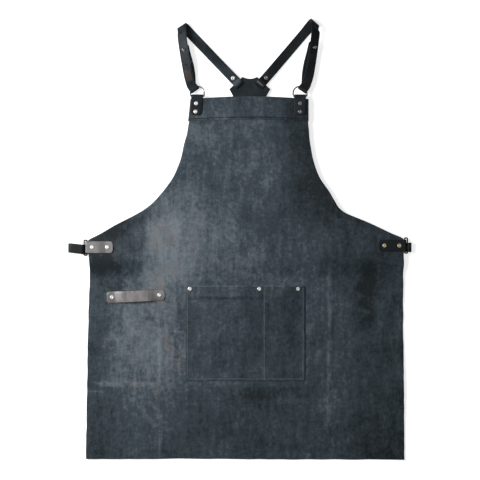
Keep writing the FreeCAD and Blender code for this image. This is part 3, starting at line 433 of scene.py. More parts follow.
def noise_of(tree, scale, detail, rough, stretch=(1, 1, 1), twist=0.0, shift=(0, 0, 0)):
    mapping = node(tree, "ShaderNodeMapping", Scale=stretch, Location=shift)
    tree.links.new(node(tree, "ShaderNodeTexCoord").outputs["Object"], mapping.inputs["Vector"])
    made = node(tree, "ShaderNodeTexNoise", Scale=scale, Detail=detail, Roughness=rough, Distortion=twist)
    tree.links.new(mapping.outputs["Vector"], made.inputs["Vector"])
    return made.outputs["Fac"]


def ranged(tree, value, low, high, out_low=0.0, out_high=1.0, smooth=True):
    """Carries low to high over to out_low to out_high, and holds it there beyond them."""
    made = node(tree, "ShaderNodeMapRange", From_Min=low, From_Max=high, To_Min=out_low, To_Max=out_high)
    made.interpolation_type = "SMOOTHSTEP" if smooth else "LINEAR"
    tree.links.new(value, made.inputs["Value"])
    return made.outputs["Result"]


def maths(tree, operation, *values):
    made = tree.nodes.new("ShaderNodeMath")
    made.operation = operation
    for socket, value in zip(made.inputs, values):
        feed(tree, socket, value)
    return made.outputs[0]


def times(tree, first, *others):
    for other in others:
        first = maths(tree, "MULTIPLY", first, other)
    return first


def summed(tree, total, *parts):
    """total plus each (value, gain, centre): gain times how far the value is above its centre."""
    for value, gain, centre in parts:
        total = maths(tree, "MULTIPLY_ADD", maths(tree, "SUBTRACT", value, centre), gain, total)
    return total


def mixed(tree, factor, a, b):
    made = tree.nodes.new("ShaderNodeMix")
    made.data_type = "RGBA"
    tree.links.new(factor, made.inputs["Factor"])
    for key, color in (("A", a), ("B", b)):
        feed(tree, next(s for s in made.inputs if s.name == key and s.type == "RGBA"), color)
    return next(s for s in made.outputs if s.type == "RGBA")


def finish_material(tree, shader, color, roughness, layers):
    """Links the colour, the roughness if it varies, and bumps of (height, strength, distance in mm)."""
    tree.links.new(color, shader.inputs["Base Color"])
    if roughness is not None:
        tree.links.new(roughness, shader.inputs["Roughness"])
    last = None
    for height, strength, distance in layers:
        made = node(tree, "ShaderNodeBump", Strength=strength, Distance=distance * MM)
        tree.links.new(height, made.inputs["Height"])
        if last:
            tree.links.new(last, made.inputs["Normal"])
        last = made.outputs["Normal"]
    if last:
        tree.links.new(last, shader.inputs["Normal"])


def plan_of(tree):
    """A point's x and y on the piece, in metres."""
    apart = tree.nodes.new("ShaderNodeSeparateXYZ")
    tree.links.new(node(tree, "ShaderNodeTexCoord").outputs["Object"], apart.inputs[0])
    return apart.outputs["X"], apart.outputs["Y"]


def band_of(tree, axis_value, centre, half, soft):
    """1 within half of centre along an axis, 0 outside, smooth over soft. Metres."""
    rise = ranged(tree, axis_value, centre - half - soft, centre - half)
    fall = ranged(tree, axis_value, centre + half + soft, centre + half)
    return times(tree, rise, fall)


# Where the body is rubbed pale or has a painted sheen (gain above 0), or has kept its dye or has painted
# shade (gain below 0). Each mark has a band along x and one along y, as centre, half width and fade in
# metres, then the clouds that break it up, and its gain.
BODY_MARKS = (
    ((-0.120, 0.03, 0.12), (0.262, 0.02, 0.14), None, 0.32),  # belly: rubbed pale, and painted sheen from the light on the left
    ((-0.205, 0.03, 0.11), (0.105, 0.06, 0.17), None, 0.29),  # left of the pocket: rubbed pale, and painted sheen from the light on the left
    ((-0.030, 0.04, 0.12), (0.450, 0.06, 0.08), None, 0.10),  # chest
    ((-0.140, 0.02, 0.050), (0.240, 0.02, 0.05), "ragged", 0.12),
    ((-0.180, 0.0012, 0.006), (0.050, 0.21, 0.09), "broken", 0.28),  # the three fold lines
    ((0.167, 0.0012, 0.006), (0.030, 0.17, 0.08), "broken", 0.30),
    ((-0.235, 0.05, 0.05), (-0.026, 0.0020, 0.008), "ragged", 0.26),
    ((0.035, 0.08, 0.06), (-0.042, 0.0060, 0.016), None, -0.17),  # painted shade in the dip below the pocket
    ((0.045, 0.08, 0.05), (-0.044, 0.0050, 0.014), "ragged", -0.20),
    ((-0.268, 0.02, 0.050), (0.240, 0.05, 0.09), "ragged", -0.38),  # by the side tabs
    ((-0.268, 0.02, 0.060), (0.268, 0.03, 0.07), None, -0.28),
    ((0.240, 0.0080, 0.022), (0.150, 0.04, 0.05), "ragged", -0.40),
)


def hide_material(name, part="body", shift=(0.0, 0.0, 0.0), tone=0.0):
    """Waxed slate-blue pull-up leather: cloudy and rubbed, with pale fold lines and brown worn patches, and
    with painted sheen and painted shade laid into its colour.
    """
    material, tree, shader = start_material(name, 0.6, shine=0.22)
    deep, slate, pale = (0.0100, 0.0158, 0.0195), (0.047, 0.0660, 0.081), (0.172, 0.205, 0.231)
    brown = (0.175, 0.150, 0.140)
    x, y = plan_of(tree)

    def cloud(scale, detail, rough, stretch=(1, 1, 1), more=(0, 0, 0), twist=0.0):
        return noise_of(tree, scale, detail, rough, stretch, twist, tuple(a + b for a, b in zip(shift, more)))

    mottle = cloud(19.0, 10, 0.70, more=(1.7, 0.4, 0), twist=0.25)
    # How worn the surface is, with painted sheen and painted shade added in: 0 is as dyed or in deep painted
    # shade, 0.5 the usual slate and 1 rubbed pale or in painted sheen.
    wear_and_painted_light = summed(
        tree, 0.44 + tone,
        (cloud(5.0, 3, 0.5, more=(0.9, 0.35, 0)), 0.75, 0.5),
        (mottle, 0.80, 0.5),
        (cloud(40.0, 7, 0.70, stretch=(1.9, 0.38, 1), more=(3.1, 0.7, 0)), 0.85, 0.5),
        (cloud(130.0, 6, 0.72, more=(0.3, 2.7, 0)), 1.10, 0.5),
        (ranged(tree, y, -0.06, -0.165), -0.11, 0.0),
    )
    if part == "pocket":
        # The mouth has a painted highlight along its cut edge, broken up by noise, with painted shade below
        # its facing.
        highlight_breaks = ranged(tree, cloud(60.0, 4, 0.7, stretch=(1, 0.2, 1)), 0.36, 0.56, 0.25, 1.0)
        mouth_highlight = times(tree, ranged(tree, y, 0.1752, 0.1764), highlight_breaks)
        under = times(tree, band_of(tree, y, 0.1500, 0.0008, 0.0030), ranged(tree, x, 0.055, 0.015))
        wear_and_painted_light = summed(tree, wear_and_painted_light, (mouth_highlight, 0.50, 0.0), (under, -0.16, 0.0))
    else:
        # The rim and the band's height keep their dye. The wearer's left side is darker with painted shade,
        # where the light from the left falls off, and the bib's upper right is darker too.
        wear_and_painted_light = summed(
            tree, wear_and_painted_light,
            (ranged(tree, y, 0.505, 0.520), -0.07, 0.0),
            (ranged(tree, x, -0.245, -0.315), -0.12, 0.0),
            (ranged(tree, x, 0.16, 0.27), -0.20, 0.0),
            (times(tree, ranged(tree, x, 0.04, 0.12), ranged(tree, y, 0.28, 0.38)), -0.36, 0.0),
        )
        breaks = {
            "broken": ranged(tree, cloud(34.0, 6, 0.7, stretch=(1, 0.3, 1), more=(2.0, 0, 0)), 0.40, 0.64),
            "ragged": ranged(tree, cloud(15.0, 8, 0.66, more=(0, 1.3, 0), twist=0.6), 0.40, 0.58),
        }
        for along_x, along_y, kind, gain in BODY_MARKS:
            mark = times(tree, band_of(tree, x, *along_x), band_of(tree, y, *along_y))
            if kind:
                mark = times(tree, mark, breaks[kind])
            wear_and_painted_light = summed(tree, wear_and_painted_light, (mark, gain, 0.0))
        for more, stretch in (((5, 1, 0), (0.16, 1, 1)), ((2, 7, 0), (1, 0.13, 1))):
            scratches = cloud(120.0, 3, 0.55, stretch=stretch, more=more, twist=0.9)
            wear_and_painted_light = summed(tree, wear_and_painted_light, (ranged(tree, scratches, 0.66, 0.72), 0.16, 0.0))
    if part == "band":
        # Painted shade along the stitched line and along the cut below it, which follow the curved edge.
        off_middle = summed(tree, 0.0, (x, 1.0, BIB_MIDDLE * MM))
        rise = times(tree, off_middle, off_middle)
        level = summed(tree, 0.0, (y, 1.0, 0.0), (rise, BAND_RISE * MM / (BAND_HALF * MM) ** 2, 0.0))
        for height, half, soft, gain in ((0.5215, 0.0008, 0.0012, -0.26), (0.5172, 0.0004, 0.0010, -0.20)):
            wear_and_painted_light = summed(tree, wear_and_painted_light, (band_of(tree, level, height, half, soft), gain, 0.0))
    color = mixed(tree, ranged(tree, wear_and_painted_light, 0.0, 0.5, smooth=False), deep, slate)
    color = mixed(tree, ranged(tree, wear_and_painted_light, 0.5, 1.06, smooth=False), color, pale)
    if part != "pocket":
        side = times(tree, band_of(tree, x, -0.185, 0.03, 0.08), band_of(tree, y, 0.11, 0.18, 0.06))
        rubs = cloud(16.0, 8, 0.70, stretch=(1.3, 0.8, 1), more=(4.2, 2.0, 0))
        patches = times(tree, side, ranged(tree, rubs, 0.49, 0.64, 0, 0.45), ranged(tree, wear_and_painted_light, 0.45, 0.75))
        color = mixed(tree, patches, color, brown)
    finish_material(tree, shader, color, ranged(tree, mottle, 0.3, 0.7, 0.66, 0.50), [
        (cloud(17, 5, 0.6), 0.35, 6.0),
        (cloud(70, 6, 0.66, stretch=(1.3, 0.8, 1), more=(1, 1, 0)), 0.50, 2.2),
        (cloud(700, 4, 0.65), 0.40, 0.20),
    ])
    return material


def oval_of(tree, x, y, long, wide, turn):
    """One over an oval on the piece in plan (millimetres, degrees), fading to nothing past its rim."""
    mapping = node(
        tree, "ShaderNodeMapping", Location=(x * MM, y * MM, 0), Rotation=(0, 0, math.radians(turn)),
        Scale=(long * MM, wide * MM, 1),
    )
    mapping.vector_type = "TEXTURE"
    tree.links.new(node(tree, "ShaderNodeTexCoord").outputs["Object"], mapping.inputs["Vector"])
    reach = tree.nodes.new("ShaderNodeVectorMath")
    reach.operation = "LENGTH"
    tree.links.new(mapping.outputs[0], reach.inputs[0])
    return ranged(tree, reach.outputs["Value"], 1.35, 0.65)


def strap_material(name, deep, pale, roughness, amount, shine, grain=0.25, marks=()):
    """Smooth strap leather with a faint wax bloom. A mark is an oval and the colour it fades to."""
    material, tree, shader = start_material(name, roughness, shine=shine)
    bloom = noise_of(tree, 22.0, 6, 0.65, twist=0.4)
    color = mixed(tree, ranged(tree, bloom, 0.42, 0.74, 0, amount), deep, pale)
    scuffs = ranged(tree, noise_of(tree, 170.0, 5, 0.72), 0.58, 0.8, 0, 0.35)
    color = mixed(tree, scuffs, color, pale)
    for oval, tint in marks:
        color = mixed(tree, oval_of(tree, *oval), color, tint)
    finish_material(tree, shader, color, None, [
        (noise_of(tree, 260, 4, 0.6), grain, 0.25),
        (noise_of(tree, 1300, 2, 0.5), grain, 0.08),
    ])
    return material


def worn_material():
    """Leather polished by use: grey-brown with cross streaks where it flexes, and painted shade on the faces
    that tilt away from straight up, at its cut edges and turns.
    """
    material, tree, shader = start_material("worn_hide", 0.3)
    streaks = noise_of(tree, 26.0, 6, 0.6, stretch=(2.2, 0.7, 1))
    color = mixed(tree, ranged(tree, streaks, 0.36, 0.60), (0.130, 0.118, 0.120), (0.235, 0.222, 0.226))
    cracks = noise_of(tree, 75.0, 6, 0.7, stretch=(2.6, 0.35, 1), shift=(0.6, 1.1, 0))
    color = mixed(tree, ranged(tree, cracks, 0.56, 0.70, 0, 0.75), color, (0.045, 0.034, 0.032))
    rust = noise_of(tree, 48.0, 6, 0.7, stretch=(1.6, 0.7, 1), shift=(0.2, 3.1, 0))
    color = mixed(tree, ranged(tree, rust, 0.54, 0.70, 0, 0.6), color, (0.165, 0.105, 0.080))
    # Painted shade: faces that tilt away from straight up, such as the cut edges and the turns, go near
    # black.
    upright = tree.nodes.new("ShaderNodeSeparateXYZ")
    tree.links.new(tree.nodes.new("ShaderNodeNewGeometry").outputs["Normal"], upright.inputs[0])
    color = mixed(tree, ranged(tree, upright.outputs["Z"], 0.93, 0.70), color, (0.018, 0.016, 0.017))
    finish_material(tree, shader, color, ranged(tree, streaks, 0.35, 0.65, 0.42, 0.30), [
        (noise_of(tree, 60, 5, 0.6, stretch=(3, 1, 1)), 0.22, 0.4),
        (noise_of(tree, 800, 3, 0.5), 0.25, 0.08),
    ])
    return material


def metal_material(name, color, tarnish, roughness, metallic=1.0):
    material, tree, shader = start_material(name, roughness, metallic)
    spots = ranged(tree, noise_of(tree, 500, 4, 0.6), 0.40, 0.72)
    rough = ranged(tree, spots, 0, 1, roughness, roughness + 0.15)
    finish_material(tree, shader, mixed(tree, spots, color, tarnish), rough, [])
    return material


def thread_material(name, color):
    material, tree, shader = start_material(name, 0.75)
    fibre = ranged(tree, noise_of(tree, 1500, 2, 0.5), 0.3, 0.7, 0, 0.5)
    finish_material(tree, shader, mixed(tree, fibre, color, tuple(c * 0.5 for c in color)), None, [])
    return material


HIDE = hide_material("waxed_hide")
BAND_HIDE = hide_material("band_hide", "band", (0.7, 1.1, 0.0), -0.02)
POCKET_HIDE = hide_material("pocket_hide_leather", "pocket", (2.3, 1.9, 0.0), -0.03)
# Each strap has a painted highlight at its turn through the yoke, and the yoke has painted shade beside those
# slots.
STRAPS = {
    "left": strap_material(
        "strap_hide_left", (0.0105, 0.0155, 0.0195), (0.052, 0.071, 0.086), 0.54, 0.75, 0.2,
        marks=[((-23.5, 593.5, 11.5, 4.6, 43), (0.062, 0.083, 0.100))],
    ),
    "right": strap_material(
        "strap_hide_right", (0.0060, 0.0080, 0.0095), (0.026, 0.033, 0.038), 0.52, 0.60, 0.2,
        marks=[((22.3, 593.3, 11.0, 1.5, -41), (0.130, 0.124, 0.124))],
    ),
}
# Painted shade for the yoke's slots, where the straps dive through.
PAINTED_SLOT_SHADE = (0.0015, 0.0018, 0.002)
YOKE_HIDE = strap_material(
    "yoke_hide", (0.0085, 0.0135, 0.0165), (0.030, 0.045, 0.055), 0.50, 0.55, 0.22,
    marks=[((-14.0, 586.5, 10.0, 2.0, 43), PAINTED_SLOT_SHADE), ((22.0, 586.5, 11.0, 2.2, -38), PAINTED_SLOT_SHADE)],
)
TAB = strap_material("tab_hide", (0.0065, 0.0105, 0.0140), (0.028, 0.042, 0.053), 0.50, 0.55, 0.22)
PATCH = strap_material("worn_patch", (0.045, 0.035, 0.032), (0.150, 0.110, 0.096), 0.6, 0.95, 0.15)
BLACK = strap_material("black_enamel", (0.0045, 0.005, 0.0055), (0.012, 0.013, 0.014), 0.36, 0.4, 0.35, 0.1)
WORN = worn_material()
NICKEL = metal_material("nickel", (0.88, 0.88, 0.87), (0.66, 0.62, 0.54), 0.34, 0.8)
STEEL = metal_material("ring_steel", (0.34, 0.34, 0.34), (0.20, 0.19, 0.18), 0.22)
BRASS = metal_material("brass", (0.70, 0.58, 0.36), (0.44, 0.34, 0.20), 0.36, 0.9)
# A darker grey copy of the nickel: painted shade for the rivets on the right, which catch less of the light
# from the left.
SHADED_NICKEL = metal_material("shaded_nickel", (0.30, 0.29, 0.28), (0.17, 0.165, 0.16), 0.36)
PALE_THREAD = thread_material("pale_thread", (0.24, 0.27, 0.30))
DARK_THREAD = thread_material("dark_thread", (0.006, 0.007, 0.009))


def settle(made, body, *nodes, slot=None):
    """Puts a finished piece on its body, in place of CAD nodes."""
    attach(made, body)
    if nodes:
        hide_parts(*nodes)


# ---- the hide

# The body's side edges: (y, x) from the hem up.
LEFT_EDGE = curve_through([
    (-180, -332.4), (-60, -330.6), (60, -328.6), (150, -326), (215, -324.8), (255, -326.5), (270, -326.5),
    (283, -303), (300, -273.5), (316, -242), (332, -214), (349, -193), (366, -178), (398, -154.5),
    (430, -140), (463, -131.5), (496, -123.5), (562, -117.5),
])
RIGHT_EDGE = curve_through([
    (-180, 321), (-80, 320.3), (40, 319.2), (140, 318.2), (230, 318.8), (262, 318.5), (274, 317),
    (284, 294), (300, 260), (314, 228), (326, 200), (336, 187), (350, 177.8), (366, 168.2), (382, 157.5),
    (398, 147.2), (430, 135), (463, 128), (496, 124.2), (562, 123),
])


def bulge(x, middle, half):
    """1 in the middle, 0 from half a width away on, and a parabola between."""
    return np.clip(1 - ((x - middle) / half) ** 2, 0, 1)


def ridge(away, half):
    """1 on a line and 0 far from it, given the distance to it."""
    return np.exp(-((away / half) ** 2))


def bib_top(x):
    return BIB_TOP + BIB_RISE * bulge(x, BIB_MIDDLE, BIB_HALF)


def band_low(x):
    return BAND_LOW + BAND_RISE * bulge(x, BIB_MIDDLE, BAND_HALF)


def bib_lift(x, y):
    """The bib over the harness: a sag between its edges, slack waves, and the yoke's print at the top."""
    inside = ease(0, 60, x - LEFT_EDGE(y)) * ease(0, 60, RIGHT_EDGE(y) - x)
    chest = ease(262, 330, y) * ease(505, 430, y) * inside
    waves = np.sin(x / 41 + y / 67) * 0.6 + np.sin(x / 23 - y / 39 + 1.3) * 0.35 + np.sin(x / 61 + 2.1) * 0.5
    off_yoke = abs(x - YOKE[0])
    over_yoke = 1.5 * ease(78, 25, off_yoke) * ease(495, 530, y)
    over_arms = 0.7 * ridge(off_yoke - 31, 11) * ease(500, 535, y)
    return RAISED * ease(190, 236, y) + (waves * 1.2 - 3.4) * chest + over_yoke + over_arms


def skirt_lift(x, y):
    """The skirt's lifted rim, fold ridges, broad swells, and a roll of slack below the pocket."""
    below_waist = ease(236, 180, y)
    curl_left = ease(34, 0, x - LEFT_EDGE(y)) * (1.1 + 0.9 * np.sin(y / 47 + 0.6)) * below_waist
    curl_right = ease(40, 0, RIGHT_EDGE(y) - x) * (1.7 + 1.0 * np.sin(y / 39 + 2.0)) * below_waist
    hem = ease(-40, -150, y) * (0.7 + 0.6 * np.sin(x / 53 + 0.4) + 0.3 * np.sin(x / 19))
    fold_left = 1.0 * ridge(x + 180 + 2 * np.sin(y / 60), 3.2) * ease(122, 100, y)
    fold_right = 0.9 * ridge(x - 167 - 2 * np.sin(y / 47), 3.0) * ease(210, 150, y)
    across = 0.8 * ridge(y + 27 + 2 * np.sin(x / 33), 2.6) * ease(-150, -200, x)
    folds = (fold_left + fold_right) * ease(-165, -120, y) + across * ease(-326, -300, x)
    open_skirt = ease(-172, -120, y) * ease(236, 190, y)
    off_pocket = 1 - ease(-34, -22, y) * ease(188, 178, y) * ease(-140, -129, x) * ease(130, 118, x)
    swell = 0.7 * np.sin(x / 37 + y / 58 + 0.7) + 0.6 * np.sin(x / 24 - y / 31) + 0.3
    swell = np.maximum(swell, 0) * open_skirt * off_pocket
    slack = 2.4 * ridge(y + 58 + 3 * np.sin(x / 41), 9) * ease(-100, -30, x) * ease(165, 110, x)
    return np.maximum(hem, 0) + curl_left + curl_right + folds + swell + slack


def body_under(x, y):
    """Height of the hide's underside. The skirt lies flat, and the rest rides over the harness."""
    return bib_lift(x, y) + skirt_lift(x, y)


def body_plan(ys, cols):
    """A grid of plan points between the body's side edges. The upper rows bend to meet its curved top."""
    across = np.linspace(0, 1, cols)
    bend_from = 480
    rows = []
    for y in ys:
        x = LEFT_EDGE(y) + (RIGHT_EDGE(y) - LEFT_EDGE(y)) * across
        bend = np.clip((y - bend_from) / (BIB_TOP - bend_from), 0, 1)
        rows.append(np.dstack([x, y + (bib_top(x) - BIB_TOP) * bend])[0])
    return np.array(rows)


def cut_by_hand(plan):
    """A slight unevenness of the side edges and the hem, which also falls a little towards the right."""
    for row in plan:
        y = row[0, 1]
        row[0, 0] += noise(vec(y / 23, 1.7))
        row[-1, 0] += noise(vec(y / 21, 9.2))
    plan[0, :, 1] += [0.9 * noise(vec(x / 31, 4.4)) - 1.2 * ease(-60, 220, x) for x in plan[0, :, 0]]
    return plan


hide_plan = cut_by_hand(body_plan(np.linspace(HEM, BIB_TOP, 215), 170))
hide = sheet_mesh("hide", hide_plan, body_under, HIDE)
settle(hide, "apron", "apron_body", slot="hide")


def band_plan():
    """The band's grid, from its curved lower edge to the bib's top, a little proud of the body's sides."""
    rows, across = [], np.linspace(0, 1, 110)
    for t in np.linspace(0, 1, 22):
        y = BAND_LOW + (BIB_TOP - BAND_LOW) * t
        left, right = LEFT_EDGE(y) - 2.0 * (1 - t), RIGHT_EDGE(y) + 0.8
        x = left + (right - left) * across
        rows.append(np.dstack([x, band_low(x) * (1 - t) + bib_top(x) * t])[0])
    return np.array(rows)


def band_under(x, y):
    return body_under(x, y) + HIDE_THICK + 0.1


band = sheet_mesh("bib_band_hide", band_plan(), band_under, BAND_HIDE)
settle(band, "apron", "bib_band", slot="hide")


def on_top(height, x, y, clear):
    """A point just above a hide, from the function for its underside's height."""
    return vec(x, y, float(height(np.float64(x), np.float64(y))) + HIDE_THICK + clear)


band_line = [on_top(band_under, x, float(band_low(x)) + 4.6, 0.12) for x in np.linspace(-119, 122, 80)]
settle(stitches("band_stitches", [band_line], DARK_THREAD, 4.6, 3.0, 0.6), "apron")

# ---- tool pocket


def pocket_under(x, y):
    """Underside of the pocket panel: flat at the seams, with room behind both compartments."""
    wide = ease(-122, -62, x) * ease(30, -34, x)
    narrow = 0.8 * ease(35, 68, x) * ease(110, 78, x)
    belly = (wide + narrow) * ease(-12, 70, y) * (3.4 + 0.35 * np.sin(x / 13 + y / 70))
    facing = 0.8 * ease(151.2, 153, y) * ease(-118, -108, x) * ease(108, 98, x)
    crease = 1.5 * ridge(y - 151.6 - 1.1 * np.sin(x / 26), 1.5) * ease(-121, -110, x) * ease(60, 20, x)
    pucker = 0.7 * ridge(x - 52 + (177 - y) * 0.05, 2.6) * ease(140, 172, y)
    pucker += 0.6 * ridge(x + 22, 2.4) * ease(150, 172, y) + 0.5 * ridge(x + 110, 3) * ease(135, 165, y)
    seam = 0.35 * sum(ridge(x - at, 1.1) for at in POCKET_SEAMS)
    return HIDE_THICK + 0.1 + np.maximum(belly + facing - crease + pucker - seam, 0)


def pocket_plan():
    """The pocket's grid, with its sides drawn in round its lower corners."""
    x0, x1, y0, y1 = POCKET
    x, y = np.meshgrid(np.linspace(x0, x1, 118), np.linspace(y0, y1, 96))
    near = np.clip(POCKET_CORNER - (y - y0), 0, POCKET_CORNER)
    drawn_in = POCKET_CORNER - np.sqrt(np.maximum(POCKET_CORNER**2 - near**2, 0))
    for sign, edge in ((-1, x0), (1, x1)):
        x = x - sign * drawn_in * ease(30, 0, abs(x - edge))
    return np.dstack([x, y])


pocket = sheet_mesh("pocket_hide", pocket_plan(), pocket_under, POCKET_HIDE)
settle(pocket, "apron", "tool_pocket", slot="hide")


pocket_lines = [[on_top(pocket_under, x, y, 0.05) for y in np.linspace(-14.2, 174, 60)] for x in POCKET_SEAMS]
pocket_lines.append([on_top(pocket_under, x, -14.4, 0.05) for x in np.linspace(-121, 110, 60)])
settle(stitches("pocket_stitches", pocket_lines, PALE_THREAD, 4.1, 2.7, 0.6), "apron")

# ---- towel loop and tabs

TOWEL_LOOP, TOWEL_TURN, TOWEL_RIVET_OUT = (-230.2, 155.5), 2.5, 48.8


def towel_loop():
    """A strip that lies on the hide at both ends and arches clear of it between them."""
    turn = unit(TOWEL_TURN)
    centre = vec(*TOWEL_LOOP)
    rise = ((0, 9.4), (14, 9.1), (28, 7.9), (36, 5.0), (43, 3.1), (54, 3.0), (59.5, 3.0))
    profile = [(-x, z) for x, z in rise[:0:-1]] + list(rise)
    stations = [(centre + turn * x + UP * z, UP) for x, z in profile]
    made = strip_mesh("towel_loop_strip", stations, 11.8, 2.2, WORN, ends=(5.5, 7.5), corner=0.8, cup=0.3)
    settle(made, "apron", "towel_loop", slot="worn_hide")


towel_loop()


def tab_strip(name, bar, outward, legs, bend, long, material, ends=(0, 0), chamfer=(0, 0), slant=0.0):
    """A tab folded round a bar: lower leg, turn and upper leg. outward points from the hide to the bar."""
    leg = Matrix.Rotation(math.radians(-slant), 3, "Z") @ outward
    flat = vec(bar.x, bar.y)
    low, high = legs
    stations = [(flat + leg * x + UP * low, -UP) for x in (-long + 2, -long * 0.6, -long * 0.3, -5)]
    for angle in range(-60, 61, 20):
        way = swung(outward, angle)
        stations.append((bar + way * bend, way))
    stations += [(flat + leg * x + UP * high, UP) for x in (-5, -long * 0.3, -long * 0.6, -long + 0.5)]
    return strip_mesh(name, stations, 12.1, 2.0, material, 1.6, ends, chamfer)


for side, sign in SIDES.items():
    bar = vec(RING_X[side], RING_BAR_Y, RING_BAR_Z)
    ring_tab = tab_strip(
        f"ring_tab_{side}_strip", bar, vec(0, 1), (8.0, 14.0), 2.9, 39.5, TAB, chamfer=(0, 5),
        slant=RING_TAB_SLANT[side],
    )
    settle(ring_tab, "apron", f"ring_tab_{side}", slot="tab_hide")
    side_tab = tab_strip(
        f"side_tab_{side}_strip", vec(*SIDE_BAR[side], SIDE_BAR_Z), vec(sign, 0), (8.0, 12.2), 2.8, 53.5,
        WORN if side == "left" else TAB, ends=(0, 6),
    )
    settle(side_tab, "apron", f"side_tab_{side}", slot="worn_hide" if side == "left" else "tab_hide")

# ---- yoke


def slot_centre(side, up):
    """The middle of one of the yoke's slots in plan: up for a shoulder strap's, else a waist strap's."""
    return vec(YOKE[0] + SIDES[side] * SLOT_OUT[0], YOKE[1] + (1 if up else -1) * SLOT_OUT[1])


def heading(side, up):
    """Plan angle at which a strap leaves its yoke slot."""
    run = vec(*FOLD[side]) - slot_centre(side, True)
    angle = math.degrees(math.atan2(run.y, run.x))
    return angle if up else -angle


def yoke_plate():
    """The X-shaped back plate, cut from a flat outline with four slots and rounded at its edges."""
    arm_in, arm_high, arm_out, arm_low, waist = 15.0, 51.5, 42.0, 26.2, 28.0
    core, bevel = 0.75, 0.55  # half thickness between the rounded edges, and their radius
    outline = bpy.data.curves.new("yoke_outline", "CURVE")
    outline.dimensions, outline.fill_mode = "2D", "BOTH"
    outline.extrude, outline.bevel_depth, outline.offset = core * MM, bevel * MM, -bevel * MM
    outline.bevel_resolution = 2

    def closed(points):
        spline = outline.splines.new("POLY")
        spline.points.add(len(points) - 1)
        for at, (x, y) in zip(spline.points, points):
            at.co = (x * MM, y * MM, 0, 1)
        spline.use_cyclic_u = True

    dip = [(x, arm_high - 4.0 * (1 - (x / arm_in) ** 2)) for x in np.linspace(-arm_in, arm_in, 13)]
    half = [*dip, (arm_out, arm_low), (waist, 0), (arm_out, -arm_low)]
    closed(half + [(-x, -y) for x, y in half])
    for side in SIDES:
        for up in (True, False):
            along = unit(heading(side, up))
            across = vec(-along.y, along.x)
            middle = slot_centre(side, up) - vec(*YOKE)
            spread = ((-0.6, -9.3), (1.6, -9.3), (1.6, 9.3), (-0.6, 9.3))
            closed([tuple(middle + along * a + across * b)[:2] for a, b in spread])
    holder = bpy.data.objects.new("yoke_outline", outline)
    bpy.context.scene.collection.objects.link(holder)
    mesh = bpy.data.meshes.new_from_object(holder.evaluated_get(bpy.context.evaluated_depsgraph_get()))
    bpy.data.objects.remove(holder)
    mesh.transform(Matrix.Translation(vec(*YOKE, YOKE_LEVEL) * MM))
    mesh.materials.clear()
    mesh.materials.append(YOKE_HIDE)
    made = bpy.data.objects.new("yoke_hide", mesh)
    bpy.context.scene.collection.objects.link(made)
    settle(made, "harness", "back_yoke", slot="strap_hide")


yoke_plate()

# ---- straps


def ring_place(side):
    """A D-ring's own frame, with its bar along x, in the part's frame."""
    tilt = Matrix.Rotation(math.radians(-RING_TILT), 4, "X")
    return Matrix.Translation((RING_X[side], RING_BAR_Y, RING_BAR_Z)) @ tilt


def ring_wrap(side):
    """Where on its ring's bow a shoulder strap turns round it, and the way it leaves."""
    angle = 90 - SIDES[side] * 37
    return vec(0, RING_LEG) + unit(angle) * RING_RAD, angle


def flex_points(side):
    """The ends of a shoulder strap's swing axis."""
    at, angle = ring_wrap(side)
    near_ring = ring_place(side) @ (at + unit(angle) * 9)
    near_yoke = slot_centre(side, True) + unit(heading(side, True)) * LOOP_LONG + UP * 4.8
    return near_ring, near_yoke


def yoke_loop_stations(side, up):
    """From the flex line in to the slot, through it and back out beneath, with the outer face's direction."""
    slot, along = slot_centre(side, up), unit(heading(side, up))
    over = ((24, 4.8), (17.5, 4.8), (14.5, 6.0), (11.6, 7.5), (7, 7.6))
    out = [(slot + along * x + UP * z, -UP) for x, z in over]
    for angle in range(90, 271, 30):
        way = swung(along, angle)
        out.append((slot + along * 2.8 + UP * YOKE_LEVEL + way * 2.7, -way))
    out += [(slot + along * x + UP * 2.2, UP) for x in (8, 16, 27)]
    return out


def front_leg(side):
    """Points, face directions and edge vectors up the front leg."""
    sign = SIDES[side]
    start = flex_points(side)[0] + UP * 3.2
    rise = vec(*FOLD[side], STRAP_LIFT + 2 * FOLD_RAD) - start
    edge = unit(ring_wrap(side)[1] - 90)
    leg = [(start, UP, edge)]
    for up, out, lean, roll in LEG_SHAPE[side]:
        flat = unit(-sign * lean)
        c, t = math.cos(math.radians(roll)), math.sin(math.radians(roll))
        point = start + vec(rise.x * out, rise.y * up, rise.z * up)
        leg.append((point, UP * c + flat * (sign * t), flat * c - UP * (sign * t)))
    return leg


